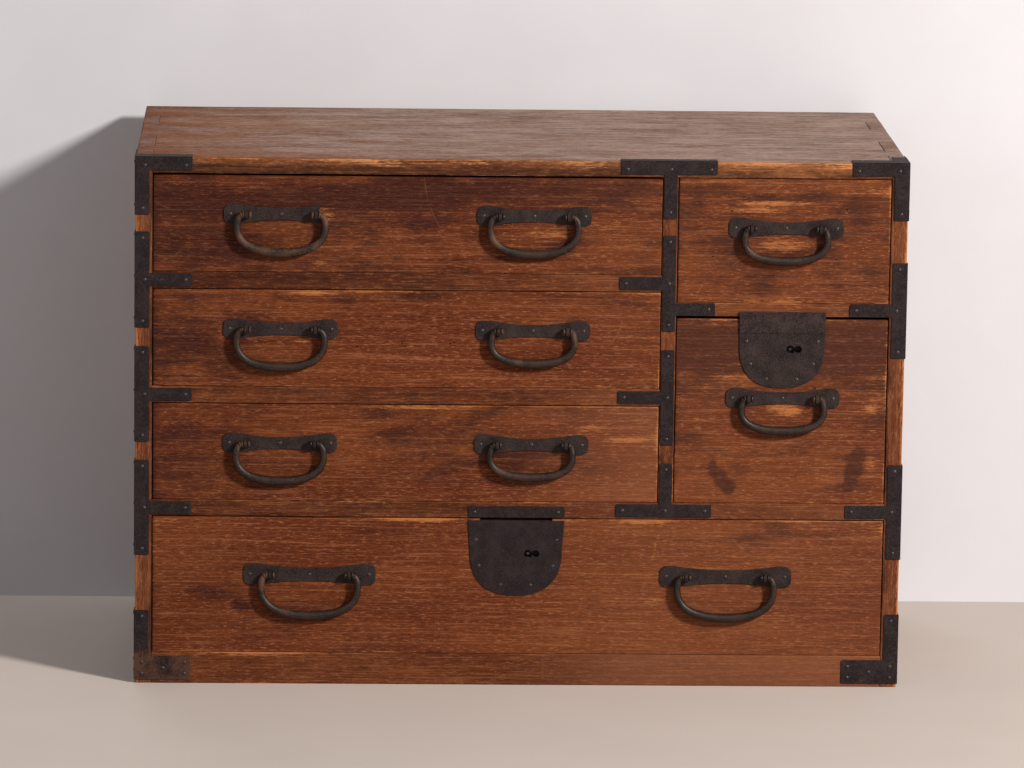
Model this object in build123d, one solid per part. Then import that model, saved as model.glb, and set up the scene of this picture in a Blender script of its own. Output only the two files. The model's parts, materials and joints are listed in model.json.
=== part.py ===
from build123d import *
import os

os.makedirs("parts", exist_ok=True)

# An isho-dansu: a small iron-bound chest for folded clothing, with three wide drawers on the left,
# a small and a deep drawer on the right and a long drawer across the bottom.
# Millimetres. +X is to the right, +Y to the back and +Z up; the origin is on the floor, under the
# middle of the chest.

# ---- Carcass ----
chest_depth = 430.0
side_thick = 19.0
top_thick = 18.0
back_thick = 8.0
back_board_count = 3
base_rail_height = 37.0
base_board_thick = 18.0
runner_width = 32.0
runner_count = 3
bottom_opening_height = 160.0
wide_rail_height = 19.0
left_opening_height = 113.0
left_rail_height = 19.5
right_rail_height = 15.5
top_right_opening_height = 144.5
left_opening_width = 581.0
right_opening_width = 244.0
post_width = 17.0
rail_depth = 24.0
shelf_thick = 9.0
housing_depth = 5.0            # groove that a shelf or the divider board is let into
tenon_length = 6.0
tenon_depth = 10.0             # front to back
tenon_setback = 7.0            # rail's face to its tenon
tenon_shoulder = 4.0           # rail's edge to its tenon
finger_ends = (60.0, 95.0, 180.0, 280.0, 345.0)  # where the top's finger joint changes boards, from the front

# ---- Drawers ----
front_thick = 18.0
front_proud = 0.4              # a drawer's face stands this much before the rails
front_lap = 10.0               # rebate that takes the drawer's sides and bottom
drawer_wall = 9.0
drawer_bottom_thick = 7.0
drawer_back_gap = 17.4         # drawer's back to the chest's back boards
drawer_side_gap = 1.0
drawer_top_gap = 1.0
shrunk_top_gap = 2.4           # over the top left drawer, whose front has shrunk most
deep_drawer_top_gap = 3.0
drawer_foot_gap = 0.3
side_drop = 1.5                # a drawer's sides stop this much under its front's top edge
back_drop = 8.0

# ---- Strap irons ----
iron = 1.2
strap_width = 16.0
strap_round = 2.0
strap_arm = 64.5               # chest's corner to the arm's end
arm_height = 15.0
strap_half_length = 55.5       # arm's middle to the upright's end
corner_upright = 66.0
corner_fold = 19.0             # over the top board's front edge
end_fold = 45.0                # the right corner iron's, over the end of the top board
foot_plate_height = 28.0
foot_plate_lift = 4.0
foot_upright = 82.0
post_strap_width = 15.0
post_arm_left = 57.0           # middle of the post to the arm's end
post_arm_right = 53.0
post_fold = 13.0
lock_strip_width = 111.0
lock_strip_height = 13.0
lock_strip_lift = 0.5          # over the wide rail's lower edge

# ---- Nails ----
nail_head_radius = 2.4
nail_head_height = 1.2
nail_shank = 1.8
nail_length = 14.0
nail_margin = 7.5              # strap's end to its nail
cross_nail_inset = 10.5        # chest's corner to the nail where arm and upright cross
nail_stagger = 3.0             # keeps nails in two faces of one corner clear of each other

# ---- Handles ----
handle_plate_thick = 1.5
plate_corner = 8.0
plate_lobe = 17.0
plate_nail_height = 1.0
eye_radius = 5.2
eye_width = 4.0
eye_gap = 0.4                  # plate to ring
eye_shank = 4.0
clinch_length = 12.0
clinch_thick = 1.6
bail_journal_radius = 2.5
journal_clearance = 0.08       # radial
bail_end_play = 0.4            # ring to the collars on each side of it
bail_knob_radius = 4.2
bail_knob_width = 3.4
bail_side_radius = 3.8
bail_foot_radius = 5.3
bail_shoulder_fall = 14.0      # eye to the bail's widest place
bail_fullness = 0.66           # 0.55 bends the bow as an ellipse; more makes it squarer
shoulder_sections = 3
bow_sections = 6

small_plate = dict(width=131.0, lobe_height=23.0, waist_height=13.5, eye_inset=26.0, lost_end=0.0)
broken_plate = dict(small_plate, lost_end=23.0)
large_plate = dict(width=152.0, lobe_height=25.0, waist_height=15.5, eye_inset=30.5, lost_end=0.0)
# A bail reaches past the middle of its eye on each side, and hangs under it.
long_bail = dict(reach=14.5, drop=48.5)
short_bail = dict(reach=11.6, drop=42.5)
large_bail = dict(reach=14.0, drop=52.5)

left_handle_height = 67.0      # floor of the opening to the middle of the plates
left_handle_spacing = 288.0
top_right_handle_height = 87.0
deep_handle_height = 123.5
bottom_handle_height = 92.5
bottom_handle_spacing = 479.0
right_handle_shift = 2.0       # right of the column's middle
break_slant = 3.0              # how far the broken plate's edge wanders

# ---- Locks ----
lock_plate_thick = 1.5
plate_fullness = 0.66          # how square the round foot is, as with a bail's fullness
keyhole_arch_radius = 4.3
keyhole_neck = 2.2
keyhole_blob_radius = 4.2
keyhole_span = 8.8             # arch's middle to the blob's middle
key_pin_radius = 1.6
case_drop = 2.0                # under the drawer front's top edge
case_depth = 12.0
case_wall = 1.5
case_clearance = 0.3
bolt_thick = 5.0
bolt_height = 28.0
bolt_clearance = 0.5
bolt_recess = 0.5              # bolt's end under the case's top when drawn in
mortise_spare = 1.5            # depth left over the raised bolt
spring_thick = 0.8
spring_bow = 2.5
step_height = 24.5             # thicker band along the top of the deep drawer's lock plate
step_thick = 0.8

bottom_lock = dict(middle=-2.5, width=111.0, foot_width=106.0, straight=36.0, round_height=52.0, rise=-2.0,
                   case_width=83.0, case_height=50.0, key_right=14.0, key_down=38.5, bolt_width=32.0,
                   bolt_travel=9.0, nails=((46.5, 22.5), (42.5, 53.0), (17.3, 75.5)))
deep_lock = dict(middle=0.0, width=99.0, foot_width=98.0, straight=39.5, round_height=49.0, rise=8.5,
                 case_width=70.0, case_height=46.0, key_right=9.5, key_down=43.0, bolt_width=28.0,
                 bolt_travel=10.0, nails=((41.0, 34.0), (36.0, 60.5), (17.5, 78.0)))

# ---- Worked out ----
half_depth = chest_depth / 2
half_width = side_thick + (left_opening_width + post_width + right_opening_width) / 2
face = -half_depth
inner_back = half_depth - back_thick
rail_back = face + rail_depth
wide_rail_low = base_rail_height + bottom_opening_height
wide_rail_top = wide_rail_low + wide_rail_height
lower_rail_low = wide_rail_top + left_opening_height
lower_rail_top = lower_rail_low + left_rail_height
upper_rail_low = lower_rail_top + left_opening_height
upper_rail_top = upper_rail_low + left_rail_height
under_top = upper_rail_top + left_opening_height
chest_height = under_top + top_thick
right_rail_top = under_top - top_right_opening_height
right_rail_low = right_rail_top - right_rail_height
inner_left = -half_width + side_thick
inner_right = half_width - side_thick
post_left = inner_left + left_opening_width
post_right = post_left + post_width
post_middle = (post_left + post_right) / 2
drawer_face = face - front_proud
drawer_back = inner_back - drawer_back_gap
handle_face = drawer_face - handle_plate_thick
pivot_y = handle_face - eye_gap - eye_radius


# ---------------------------------------------------------------- helpers
def block(x0, x1, y0, y1, z0, z1):
    """A square-edged block between two corners."""
    return Pos((x0 + x1) / 2, (y0 + y1) / 2, (z0 + z1) / 2) * Box(x1 - x0, y1 - y0, z1 - z0)


def joined(pieces):
    """One solid from pieces that meet or overlap."""
    whole = pieces[0]
    for piece in pieces[1:]:
        whole = whole + piece
    return whole


def meets(a, b):
    """True when two shapes' boxes overlap."""
    a, b = a.bounding_box(), b.bounding_box()
    return (a.min.X < b.max.X and b.min.X < a.max.X and a.min.Y < b.max.Y and b.min.Y < a.max.Y
            and a.min.Z < b.max.Z and b.min.Z < a.max.Z)


def without(shape, tools):
    """The shape with every tool that reaches it cut away."""
    near = [tool for tool in tools if meets(shape, tool)]
    return shape - near if near else shape


def front_plane(y):
    """A plane that faces the front: its own axes are +X and +Z."""
    return Plane(origin=(0, y, 0), x_dir=(1, 0, 0), z_dir=(0, -1, 0))


def save(name, *pieces):
    """Write one node; several separate pieces go in as a group."""
    solids = [solid for piece in pieces for solid in piece.solids()]
    export_step(solids[0] if len(solids) == 1 else Compound(children=solids), f"parts/{name}.step")


# ---------------------------------------------------------------- nails
outward_turn = {"front": Rot(90, 0, 0), "left": Rot(0, -90, 0), "right": Rot(0, 90, 0), "top": Rot(0, 0, 0)}


def nail(x, y, z, outward, head_height=nail_head_height, behind=0.0):
    """A hand-made nail as (head and shank, shank): a dome on a face, and a square shank driven into it.

    The shank starts at the dome and runs through what lies behind it."""
    place = Pos(x, y, z) * outward_turn[outward]
    ball_radius = (nail_head_radius ** 2 + head_height ** 2) / (2 * head_height)
    ball = Pos(0, 0, head_height - ball_radius) * Sphere(ball_radius)
    dome = ball & (Pos(0, 0, head_height) * Box(4 * ball_radius, 4 * ball_radius, 2 * head_height))
    length = nail_length + behind
    shank = Pos(0, 0, -length / 2) * Box(nail_shank, nail_shank, length)
    return place * (dome + shank), place * shank


# ---------------------------------------------------------------- strap irons
def bar(u0, u1, z0, z1):
    """A flat bar with softened corners, drawn on the plane of a face."""
    return Pos((u0 + u1) / 2, (z0 + z1) / 2) * RectangleRounded(u1 - u0, z1 - z0, strap_round)


def leaf(upright, arm):
    """One leaf of an iron bent round the chest's corner: an upright as (low, high) and an arm as (low, high).

    It is drawn with its first axis running away from the corner, and it stops at the chest's top."""
    outline = bar(-strap_width, strap_width, *upright) + bar(-strap_width, strap_arm, *arm)
    return outline & (Pos(strap_arm / 2, 0) * Rectangle(strap_arm, 2 * chest_height))


def corner_iron(side, upright, arm, folds=()):
    """An iron round the left (-1) or right (+1) front corner, with folds over the top as (reach, back)."""
    outline = leaf(upright, arm)
    corner = (-half_width, face, 0)
    front = extrude(Plane(origin=corner, x_dir=(1, 0, 0), z_dir=(0, -1, 0)) * outline, iron)
    flank = extrude(Plane(origin=corner, x_dir=(0, 1, 0), z_dir=(1, 0, 0)) * outline, -iron)
    low, high = min(upright[0], arm[0]), min(max(upright[1], arm[1]), chest_height)
    bead = block(-half_width - iron, -half_width, face - iron, face, low, high)
    over = [block(-half_width - iron, -half_width + reach, face - iron, face + back, chest_height,
                  chest_height + iron) for reach, back in folds]
    whole = joined([front, flank, bead] + over)
    return mirror(whole, Plane.YZ) if side > 0 else whole


def corner_nails(side, spots, fold_spots=()):
    """Nails in both leaves of a corner iron, at (distance from the corner, height), and in its folds."""
    outward = "right" if side > 0 else "left"
    nails = [nail(side * (half_width - u), face - iron, z, "front", behind=iron) for u, z in spots]
    nails += [nail(side * (half_width + iron), face + u, z + nail_stagger, outward, behind=iron)
              for u, z in spots]
    nails += [nail(side * (half_width - u), face + v, chest_height + iron, "top", behind=iron)
              for u, v in fold_spots]
    return nails


def band(middle):
    """Low and high edge of an arm that runs along the middle of a rail."""
    return middle - arm_height / 2, middle + arm_height / 2


def run(middle):
    """Low and high end of an upright centred on its arm."""
    return middle - strap_half_length, middle + strap_half_length


rail_middles = {
    "upper_left": (upper_rail_low + upper_rail_top) / 2,
    "lower_left": (lower_rail_low + lower_rail_top) / 2,
    "right": (right_rail_low + right_rail_top) / 2,
    "wide": (wide_rail_low + wide_rail_top) / 2,
}
left_crossings = [rail_middles[name] for name in ("upper_left", "lower_left", "wide")]
right_crossings = [rail_middles[name] for name in ("right", "wide")]
upright_middle = strap_width / 2
arm_nail = strap_arm - nail_margin
top_arm = (chest_height - arm_height, chest_height + strap_round)
top_upright = (chest_height - corner_upright, chest_height + strap_round)

side_irons = []
corner_irons = []
strap_nails = []
for side, crossings in ((-1, left_crossings), (1, right_crossings)):
    for middle in crossings:
        side_irons.append(corner_iron(side, run(middle), band(middle)))
        strap_nails += corner_nails(side, [
            (upright_middle, middle - strap_half_length + nail_margin),
            (upright_middle, middle + strap_half_length - nail_margin),
            (cross_nail_inset, middle),
            (arm_nail, middle),
        ])

    folds = [(strap_arm, corner_fold)]
    fold_spots = [(arm_nail - nail_stagger, corner_fold - nail_margin)]
    if side > 0:
        folds.append((strap_width, end_fold))
        fold_spots.append((upright_middle, end_fold - nail_margin))
    corner_irons.append(corner_iron(side, top_upright, top_arm, folds))
    top_nail = chest_height - arm_height / 2 - nail_stagger / 2
    strap_nails += corner_nails(side, [
        (upright_middle, chest_height - corner_upright + nail_margin),
        (cross_nail_inset, top_nail),
        (arm_nail, top_nail),
    ], fold_spots)

    foot_plate = (foot_plate_lift, foot_plate_lift + foot_plate_height)
    corner_irons.append(corner_iron(side, (foot_plate_lift, foot_plate_lift + foot_upright), foot_plate))
    plate_low, plate_high = foot_plate[0] + nail_margin, foot_plate[1] - nail_margin
    strap_nails += corner_nails(side, [
        (upright_middle, foot_plate_lift + foot_upright - nail_margin),
        (upright_middle, plate_high),
        (upright_middle, plate_low),
        (strap_arm / 2, (plate_low + plate_high) / 2),
        (arm_nail, plate_high),
        (arm_nail, plate_low),
    ])


def post_iron(upright, arms, fold=0.0):
    """A flat iron on the centre post: an upright and arms as (left or right reach, low, high)."""
    half = post_strap_width / 2
    outline = bar(post_middle - half, post_middle + half, *upright)
    for reach, low, high in arms:
        outline += bar(*sorted((post_middle, post_middle + reach)), low, high)
    outline = outline & Rectangle(4 * half_width, 2 * chest_height)
    solid = extrude(front_plane(face) * outline, iron)
    if fold:
        left, right = min(arm[0] for arm in arms), max(arm[0] for arm in arms)
        solid += block(post_middle + left, post_middle + right, face - iron, face + fold, chest_height,
                       chest_height + iron)
    return solid


def front_nails(spots):
    """Nails driven into the chest's front at (x, z)."""
    return [nail(x, face - iron, z, "front", behind=iron) for x, z in spots]


left_end, right_end = post_middle - post_arm_left, post_middle + post_arm_right
upper, lower = rail_middles["upper_left"], rail_middles["lower_left"]
right_middle, wide = rail_middles["right"], rail_middles["wide"]
upper_run, lower_run = run(upper), run(lower)
post_top_low = chest_height - corner_upright
wide_high = wide + strap_half_length
post_irons = [
    post_iron(top_upright,
              [(-post_arm_left, *top_arm), (post_arm_right, *top_arm)], fold=post_fold),
    post_iron(upper_run, [(-post_arm_left, *band(upper)), (post_arm_right, *band(right_middle))]),
    post_iron(lower_run, [(-post_arm_left, *band(lower))]),
    post_iron((band(wide)[0], wide_high), [(-post_arm_left, *band(wide)), (post_arm_right, *band(wide))]),
]
post_iron_nails = [
    (left_end + nail_margin, top_nail), (post_middle, top_nail), (right_end - nail_margin, top_nail),
    (post_middle, post_top_low + nail_margin),
    (left_end + nail_margin, upper), (post_middle, upper), (right_end - nail_margin, right_middle),
    (post_middle, upper_run[0] + nail_margin), (post_middle, upper_run[1] - nail_margin),
    (left_end + nail_margin, lower), (post_middle, lower),
    (post_middle, lower_run[0] + nail_margin), (post_middle, lower_run[1] - nail_margin),
    (left_end + nail_margin, wide), (post_middle, wide), (right_end - nail_margin, wide),
    (post_middle, wide_high - nail_margin),
]
strap_nails += front_nails(post_iron_nails)
strap_nails += [nail(x + nail_stagger, face + post_fold - nail_margin, chest_height + iron, "top",
                     behind=iron)
                for x in (left_end + nail_margin, post_middle, right_end - 2 * nail_margin)]

lock_middle = bottom_lock["middle"]
strip_low = wide_rail_low + lock_strip_lift
lock_strip = extrude(front_plane(face) * bar(lock_middle - lock_strip_width / 2,
                                             lock_middle + lock_strip_width / 2,
                                             strip_low, strip_low + lock_strip_height), iron)
strap_nails += front_nails([(lock_middle + turn * (lock_strip_width / 2 - nail_margin),
                             strip_low + lock_strip_height / 2) for turn in (-1, 1)])

strap_shanks = [shank for _, shank in strap_nails]
save("corner_irons", *[without(piece, strap_shanks) for piece in corner_irons])
save("side_edge_irons", *[without(piece, strap_shanks) for piece in side_irons])
save("post_irons", *[without(piece, strap_shanks) for piece in post_irons])
save("lock_strike_strip", without(lock_strip, strap_shanks))
save("strap_nails", *[solid for solid, _ in strap_nails])


# ---------------------------------------------------------------- carcass
def rail(x0, x1, z0, z1):
    """A front rail with a hidden tenon at each end."""
    tenon = block(x0 - tenon_length, x1 + tenon_length, face + tenon_setback,
                  face + tenon_setback + tenon_depth, z0 + tenon_shoulder, z1 - tenon_shoulder)
    return block(x0, x1, face, rail_back, z0, z1) + tenon


def shelf(x0, x1, low, top):
    """A board behind a rail, let into the boards at its ends."""
    return block(x0 - housing_depth, x1 + housing_depth, rail_back, inner_back, low, top)


def side_board(side, let_in):
    """A side board: fingers through the top board's end, grooves and mortises for what it carries."""
    inner, outer = sorted((side * inner_right, side * half_width))
    pieces = [block(inner, outer, face, half_depth, 0, under_top)]
    edges = (0.0,) + finger_ends
    for start, end in zip(edges[0::2], edges[1::2]):
        pieces.append(block(inner, outer, face + start, face + end, under_top, chest_height))
    return without(joined(pieces), let_in)


def bolt_mortise(lock, middle, drawer_top, low):
    """The slot in a rail's underside that takes a raised bolt."""
    top = drawer_top - case_drop - bolt_recess + lock["bolt_travel"] + mortise_spare
    half = lock["bolt_width"] / 2 + bolt_clearance
    middle_y = drawer_face + case_depth / 2
    half_y = bolt_thick / 2 + bolt_clearance
    return block(middle - half, middle + half, middle_y - half_y, middle_y + half_y, low - mortise_spare, top)


right_column = (post_right + inner_right) / 2
bottom_drawer_top = wide_rail_low - drawer_top_gap
deep_drawer_top = right_rail_low - deep_drawer_top_gap

base_rail = rail(inner_left, inner_right, 0, base_rail_height)
wide_rail = rail(inner_left, inner_right, wide_rail_low, wide_rail_top)
upper_left_rail = rail(inner_left, post_left, upper_rail_low, upper_rail_top)
lower_left_rail = rail(inner_left, post_left, lower_rail_low, lower_rail_top)
right_rail = rail(post_right, inner_right, right_rail_low, right_rail_top)
base_board = shelf(inner_left, inner_right, 0, base_board_thick)
wide_shelf = shelf(inner_left, inner_right, wide_rail_top - shelf_thick, wide_rail_top)
short_shelves = [shelf(x0, x1, top - shelf_thick, top)
                 for x0, x1, top in ((inner_left, post_left, upper_rail_top),
                                     (inner_left, post_left, lower_rail_top),
                                     (post_right, inner_right, right_rail_top))]
runner_step = (inner_right - inner_left - runner_width) / (runner_count - 1)
runners = [block(x, x + runner_width, rail_back, inner_back, base_board_thick, base_rail_height)
           for x in (inner_left + index * runner_step for index in range(runner_count))]

post_tenon = block(post_left + tenon_shoulder, post_right - tenon_shoulder, face + tenon_setback,
                   face + tenon_setback + tenon_depth, wide_rail_top - tenon_length, under_top + tenon_length)
centre_post = block(post_left, post_right, face, rail_back, wide_rail_top, under_top) + post_tenon
divider_board = block(post_left, post_right, rail_back, inner_back, wide_rail_top, under_top + housing_depth)

let_in = [base_rail, wide_rail, upper_left_rail, lower_left_rail, right_rail, base_board, wide_shelf,
          *short_shelves]
sides = {side: side_board(side, let_in) for side in (-1, 1)}
top_board = without(block(-half_width, half_width, face, half_depth, under_top, chest_height),
                    [sides[-1], sides[1], centre_post, divider_board])
bolt_slots = [bolt_mortise(bottom_lock, bottom_lock["middle"], bottom_drawer_top, wide_rail_low),
              bolt_mortise(deep_lock, right_column + deep_lock["middle"], deep_drawer_top, right_rail_low)]
back_board_height = under_top / back_board_count
back_boards = [block(inner_left, inner_right, inner_back, half_depth, index * back_board_height,
                     (index + 1) * back_board_height) for index in range(back_board_count)]

save("top_board", without(top_board, strap_shanks))
save("left_side_board", without(sides[-1], strap_shanks))
save("right_side_board", without(sides[1], strap_shanks))
save("base_board", base_board)
save("base_rail", without(base_rail, strap_shanks))
save("wide_rail", without(wide_rail, [centre_post] + bolt_slots + strap_shanks))
save("wide_shelf", wide_shelf)
save("upper_left_rail", without(upper_left_rail, strap_shanks))
save("lower_left_rail", without(lower_left_rail, strap_shanks))
save("short_shelves", *short_shelves)
save("drawer_runners", *runners)
save("right_rail", without(right_rail, bolt_slots + strap_shanks))
save("centre_post", without(centre_post, [upper_left_rail, lower_left_rail, right_rail] + strap_shanks))
save("divider_board", without(divider_board, short_shelves))
save("back_boards", *back_boards)


# ---------------------------------------------------------------- handles
def plate_outline(plate):
    """A handle's back plate: a slim waist between two rounded lobes."""
    end, lobe, waist = plate["width"] / 2, plate["lobe_height"] / 2, plate["waist_height"] / 2
    start = end - plate_lobe
    edges = [
        Line((-end, -lobe), (-end, lobe)),
        Line((-end, lobe), (-start, lobe)),
        ThreePointArc((-start, lobe), (0, waist), (start, lobe)),
        Line((start, lobe), (end, lobe)),
        Line((end, lobe), (end, -lobe)),
        Line((end, -lobe), (start, -lobe)),
        ThreePointArc((start, -lobe), (0, -waist), (-start, -lobe)),
        Line((-start, -lobe), (-end, -lobe)),
    ]
    outline = make_face(Wire(edges))
    corners = [vertex for vertex in outline.vertices() if abs(abs(vertex.X) - end) < 0.01]
    return fillet(corners, plate_corner)


def eye(x, z):
    """A ring on a square shank that goes through plate and board and is spread flat behind them."""
    ring = Pos(x, pivot_y, z) * (Rot(0, 90, 0) * Cylinder(eye_radius, eye_width))
    hole = Pos(x, pivot_y, z) * (Rot(0, 90, 0) * Cylinder(bail_journal_radius + journal_clearance,
                                                          2 * eye_width))
    half = eye_shank / 2
    behind = drawer_face + front_thick
    root = pivot_y + (eye_radius + bail_journal_radius) / 2
    shank = block(x - half, x + half, root, behind + clinch_thick, z - half, z + half)
    legs = block(x - half, x + half, behind, behind + clinch_thick, z - clinch_length, z + clinch_length)
    return joined([ring, shank, legs]) - hole, shank


def eye_place(plate):
    """From the middle of a handle's plate to the middle of an eye."""
    return plate["width"] / 2 - plate["eye_inset"]


def bail(x, z, shape, place):
    """A drop handle: a bow that thickens towards its foot, hung by a journal and a knob at each end."""
    side = place + shape["reach"] - bail_side_radius
    drop = shape["drop"] - bail_foot_radius
    inside = place - eye_width / 2 - bail_end_play
    outside = place + eye_width / 2 + bail_end_play
    fall, full = bail_shoulder_fall, bail_fullness
    shoulder = Bezier((outside, 0, 0), (outside + full * (side - outside), 0, 0),
                      (side, 0, -fall * (1 - full)), (side, 0, -fall))
    foot = Bezier((side, 0, -fall), (side, 0, -fall - full * (drop - fall)), (full * side, 0, -drop),
                  (0, 0, -drop))

    def section(curve, t, radius):
        return Plane(origin=curve @ t, x_dir=(0, 1, 0), z_dir=curve % t) * Circle(radius)

    sections = [section(shoulder, index / shoulder_sections, bail_side_radius)
                for index in range(shoulder_sections)]
    for index in range(bow_sections + 1):
        t = index / bow_sections
        swell = t * t * (3 - 2 * t)
        sections.append(section(foot, t, bail_side_radius + (bail_foot_radius - bail_side_radius) * swell))
    bow = loft(sections)
    knob_middle = inside - bail_knob_width / 2
    journal = Pos((knob_middle + outside) / 2, 0, 0) * (
        Rot(0, 90, 0) * Cylinder(bail_journal_radius, outside - knob_middle))
    knob = Pos(knob_middle, 0, 0) * (Rot(0, 90, 0) * Cylinder(bail_knob_radius, bail_knob_width))
    half = joined([bow, journal, knob])
    return Pos(x, pivot_y, z) * joined([half, mirror(half, Plane.YZ)])


def handle(x, z, plate):
    """Plate, eyes and nails of one handle, and the shanks that pass through the drawer's front."""
    outline = Pos(x, z) * plate_outline(plate)
    solid = extrude(front_plane(drawer_face) * outline, handle_plate_thick)
    nail_place = plate["width"] / 2 - nail_margin
    places = [-nail_place, 0.0, nail_place]
    if plate["lost_end"]:
        edge = x + plate["width"] / 2 - plate["lost_end"]
        top, low = z + plate["lobe_height"], z - plate["lobe_height"]
        far = x + plate["width"]
        loss = Polyline((edge, low), (edge + break_slant, z - break_slant), (edge, z + break_slant),
                        (edge + break_slant, top), (far, top), (far, low), close=True)
        solid -= extrude(front_plane(face) * make_face(loss), 2 * handle_plate_thick + front_proud)
        places = places[:2]
    eyes = [eye(x + turn * eye_place(plate), z) for turn in (-1, 1)]
    nails = [nail(x + place, handle_face, z, "front", plate_nail_height, handle_plate_thick)
             for place in places]
    shanks = [shank for _, shank in eyes + nails]
    return [without(solid, shanks)] + [piece for piece, _ in eyes + nails], shanks


# ---------------------------------------------------------------- locks
def keyhole(x, z):
    """A keyhole: an arch beside a larger round opening."""
    arch = Pos(x, z) * Circle(keyhole_arch_radius)
    foot = Pos(x, z - keyhole_arch_radius / 2) * Rectangle(2 * keyhole_arch_radius, keyhole_arch_radius)
    neck = Pos(x + keyhole_span / 2, z) * Rectangle(keyhole_span, 2 * keyhole_neck)
    blob = Pos(x + keyhole_span, z) * Circle(keyhole_blob_radius)
    return arch + foot + neck + blob


def lock_pieces(name, lock, middle, drawer_top, stepped):
    """A drawer's lock: plate, case, spring and bolt, and what has to be cut from the drawer's front."""
    plate_top = drawer_top + lock["rise"]
    turn_low = plate_top - lock["straight"]
    half, foot = lock["width"] / 2, lock["foot_width"] / 2
    low = lock["round_height"]
    bottom = turn_low - low
    fall, reach = plate_fullness * low, plate_fullness * foot
    edges = [
        Line((half, plate_top), (-half, plate_top)),
        Line((-half, plate_top), (-foot, turn_low)),
        Bezier((-foot, turn_low), (-foot, turn_low - fall), (-reach, bottom), (0, bottom)),
        Bezier((0, bottom), (reach, bottom), (foot, turn_low - fall), (foot, turn_low)),
        Line((foot, turn_low), (half, plate_top)),
    ]
    outline = Pos(middle, 0) * make_face(Wire(edges))
    plate = extrude(front_plane(drawer_face) * outline, lock_plate_thick)
    if stepped:
        step = outline & (Pos(middle, plate_top) * Rectangle(2 * lock["width"], 2 * step_height))
        plate += extrude(front_plane(drawer_face) * step, lock_plate_thick + step_thick)
    key_x, key_z = middle + lock["key_right"], plate_top - lock["key_down"]
    hole = extrude(front_plane(drawer_face + case_wall) * keyhole(key_x, key_z),
                   case_wall + lock_plate_thick + step_thick)
    nails = [nail(middle + turn * u, drawer_face - lock_plate_thick, plate_top - down, "front",
                  plate_nail_height, lock_plate_thick) for u, down in lock["nails"] for turn in (-1, 1)]
    shanks = [shank for _, shank in nails]

    case_top = drawer_top - case_drop
    case_low = case_top - lock["case_height"]
    half_case = lock["case_width"] / 2
    case_back = drawer_face + case_depth
    bolt_y = drawer_face + case_depth / 2
    half_bolt, half_thick = lock["bolt_width"] / 2, bolt_thick / 2
    shell = block(middle - half_case, middle + half_case, drawer_face, case_back, case_low, case_top)
    hollow = block(middle - half_case + case_wall, middle + half_case - case_wall, drawer_face + case_wall,
                   case_back - case_wall, case_low + case_wall, case_top - case_wall)
    slot = block(middle - half_bolt - bolt_clearance, middle + half_bolt + bolt_clearance,
                 bolt_y - half_thick - bolt_clearance, bolt_y + half_thick + bolt_clearance,
                 case_top - 2 * case_wall, case_top + case_wall)
    pin = Pos(key_x, (drawer_face + case_back) / 2, key_z) * (
        Rot(90, 0, 0) * Cylinder(key_pin_radius, case_depth - case_wall))
    case = shell - [hollow, slot, hole] + pin

    bolt_top = case_top - bolt_recess
    bolt_low = bolt_top - bolt_height
    bolt = block(middle - half_bolt, middle + half_bolt, bolt_y - half_thick, bolt_y + half_thick,
                 bolt_low, bolt_top)

    near = middle - half_bolt - 2 * bolt_clearance - spring_thick - spring_bow
    far = near - spring_thick
    spring_mid, spring_top = (bolt_low + bolt_top) / 2, bolt_top - case_wall
    spring_edges = [
        ThreePointArc((near, bolt_low), (near + spring_bow, spring_mid), (near, spring_top)),
        Line((near, spring_top), (far, spring_top)),
        ThreePointArc((far, spring_top), (far + spring_bow, spring_mid), (far, bolt_low)),
        Line((far, bolt_low), (near, bolt_low)),
    ]
    spring = extrude(front_plane(bolt_y + half_thick) * make_face(Wire(spring_edges)), bolt_thick)

    save(f"{name}_lock_plate", without(plate, shanks + [hole]), *[piece for piece, _ in nails])
    save(f"{name}_lock_case", case, spring)
    save(f"{name}_lock_bolt", bolt)
    gap = case_clearance
    pocket = block(middle - half_case - gap, middle + half_case + gap, drawer_face - gap, case_back + gap,
                   case_low - gap, drawer_top + gap)
    return [pocket] + shanks


# ---------------------------------------------------------------- drawers
def drawer(name, x0, x1, z0, z1, handles, lock=None, top_gap=drawer_top_gap):
    """One drawer in the opening x0 to x1 and z0 to z1; handles as (bail's name, x, height, plate, bail)."""
    left, right = x0 + drawer_side_gap, x1 - drawer_side_gap
    low, top = z0 + drawer_foot_gap, z1 - top_gap
    front_back = drawer_face + front_thick
    lap = front_back - front_lap
    side_top = top - side_drop
    wall_low = low + drawer_bottom_thick
    bottom = block(left, right, lap, drawer_back, low, wall_low)
    side_walls = [block(edge, edge + drawer_wall, lap, drawer_back, wall_low, side_top)
                  for edge in (left, right - drawer_wall)]
    back = block(left + drawer_wall, right - drawer_wall, drawer_back - drawer_wall, drawer_back, wall_low,
                 side_top - back_drop)
    irons, cuts = [], [bottom, *side_walls]
    for bail_name, x, height, plate, shape in handles:
        pieces, shanks = handle(x, z0 + height, plate)
        irons += pieces
        cuts += shanks
        save(bail_name, bail(x, z0 + height, shape, eye_place(plate)))
    if lock:
        cuts += lock_pieces(name, lock, (left + right) / 2 + lock["middle"], top, stepped=lock is deep_lock)
    front = without(block(left, right, drawer_face, front_back, low, top), cuts)
    save(f"{name}_front", front)
    save(f"{name}_walls", *side_walls, back)
    save(f"{name}_bottom", bottom)
    save(f"{name}_handle_irons", *irons)


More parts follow.
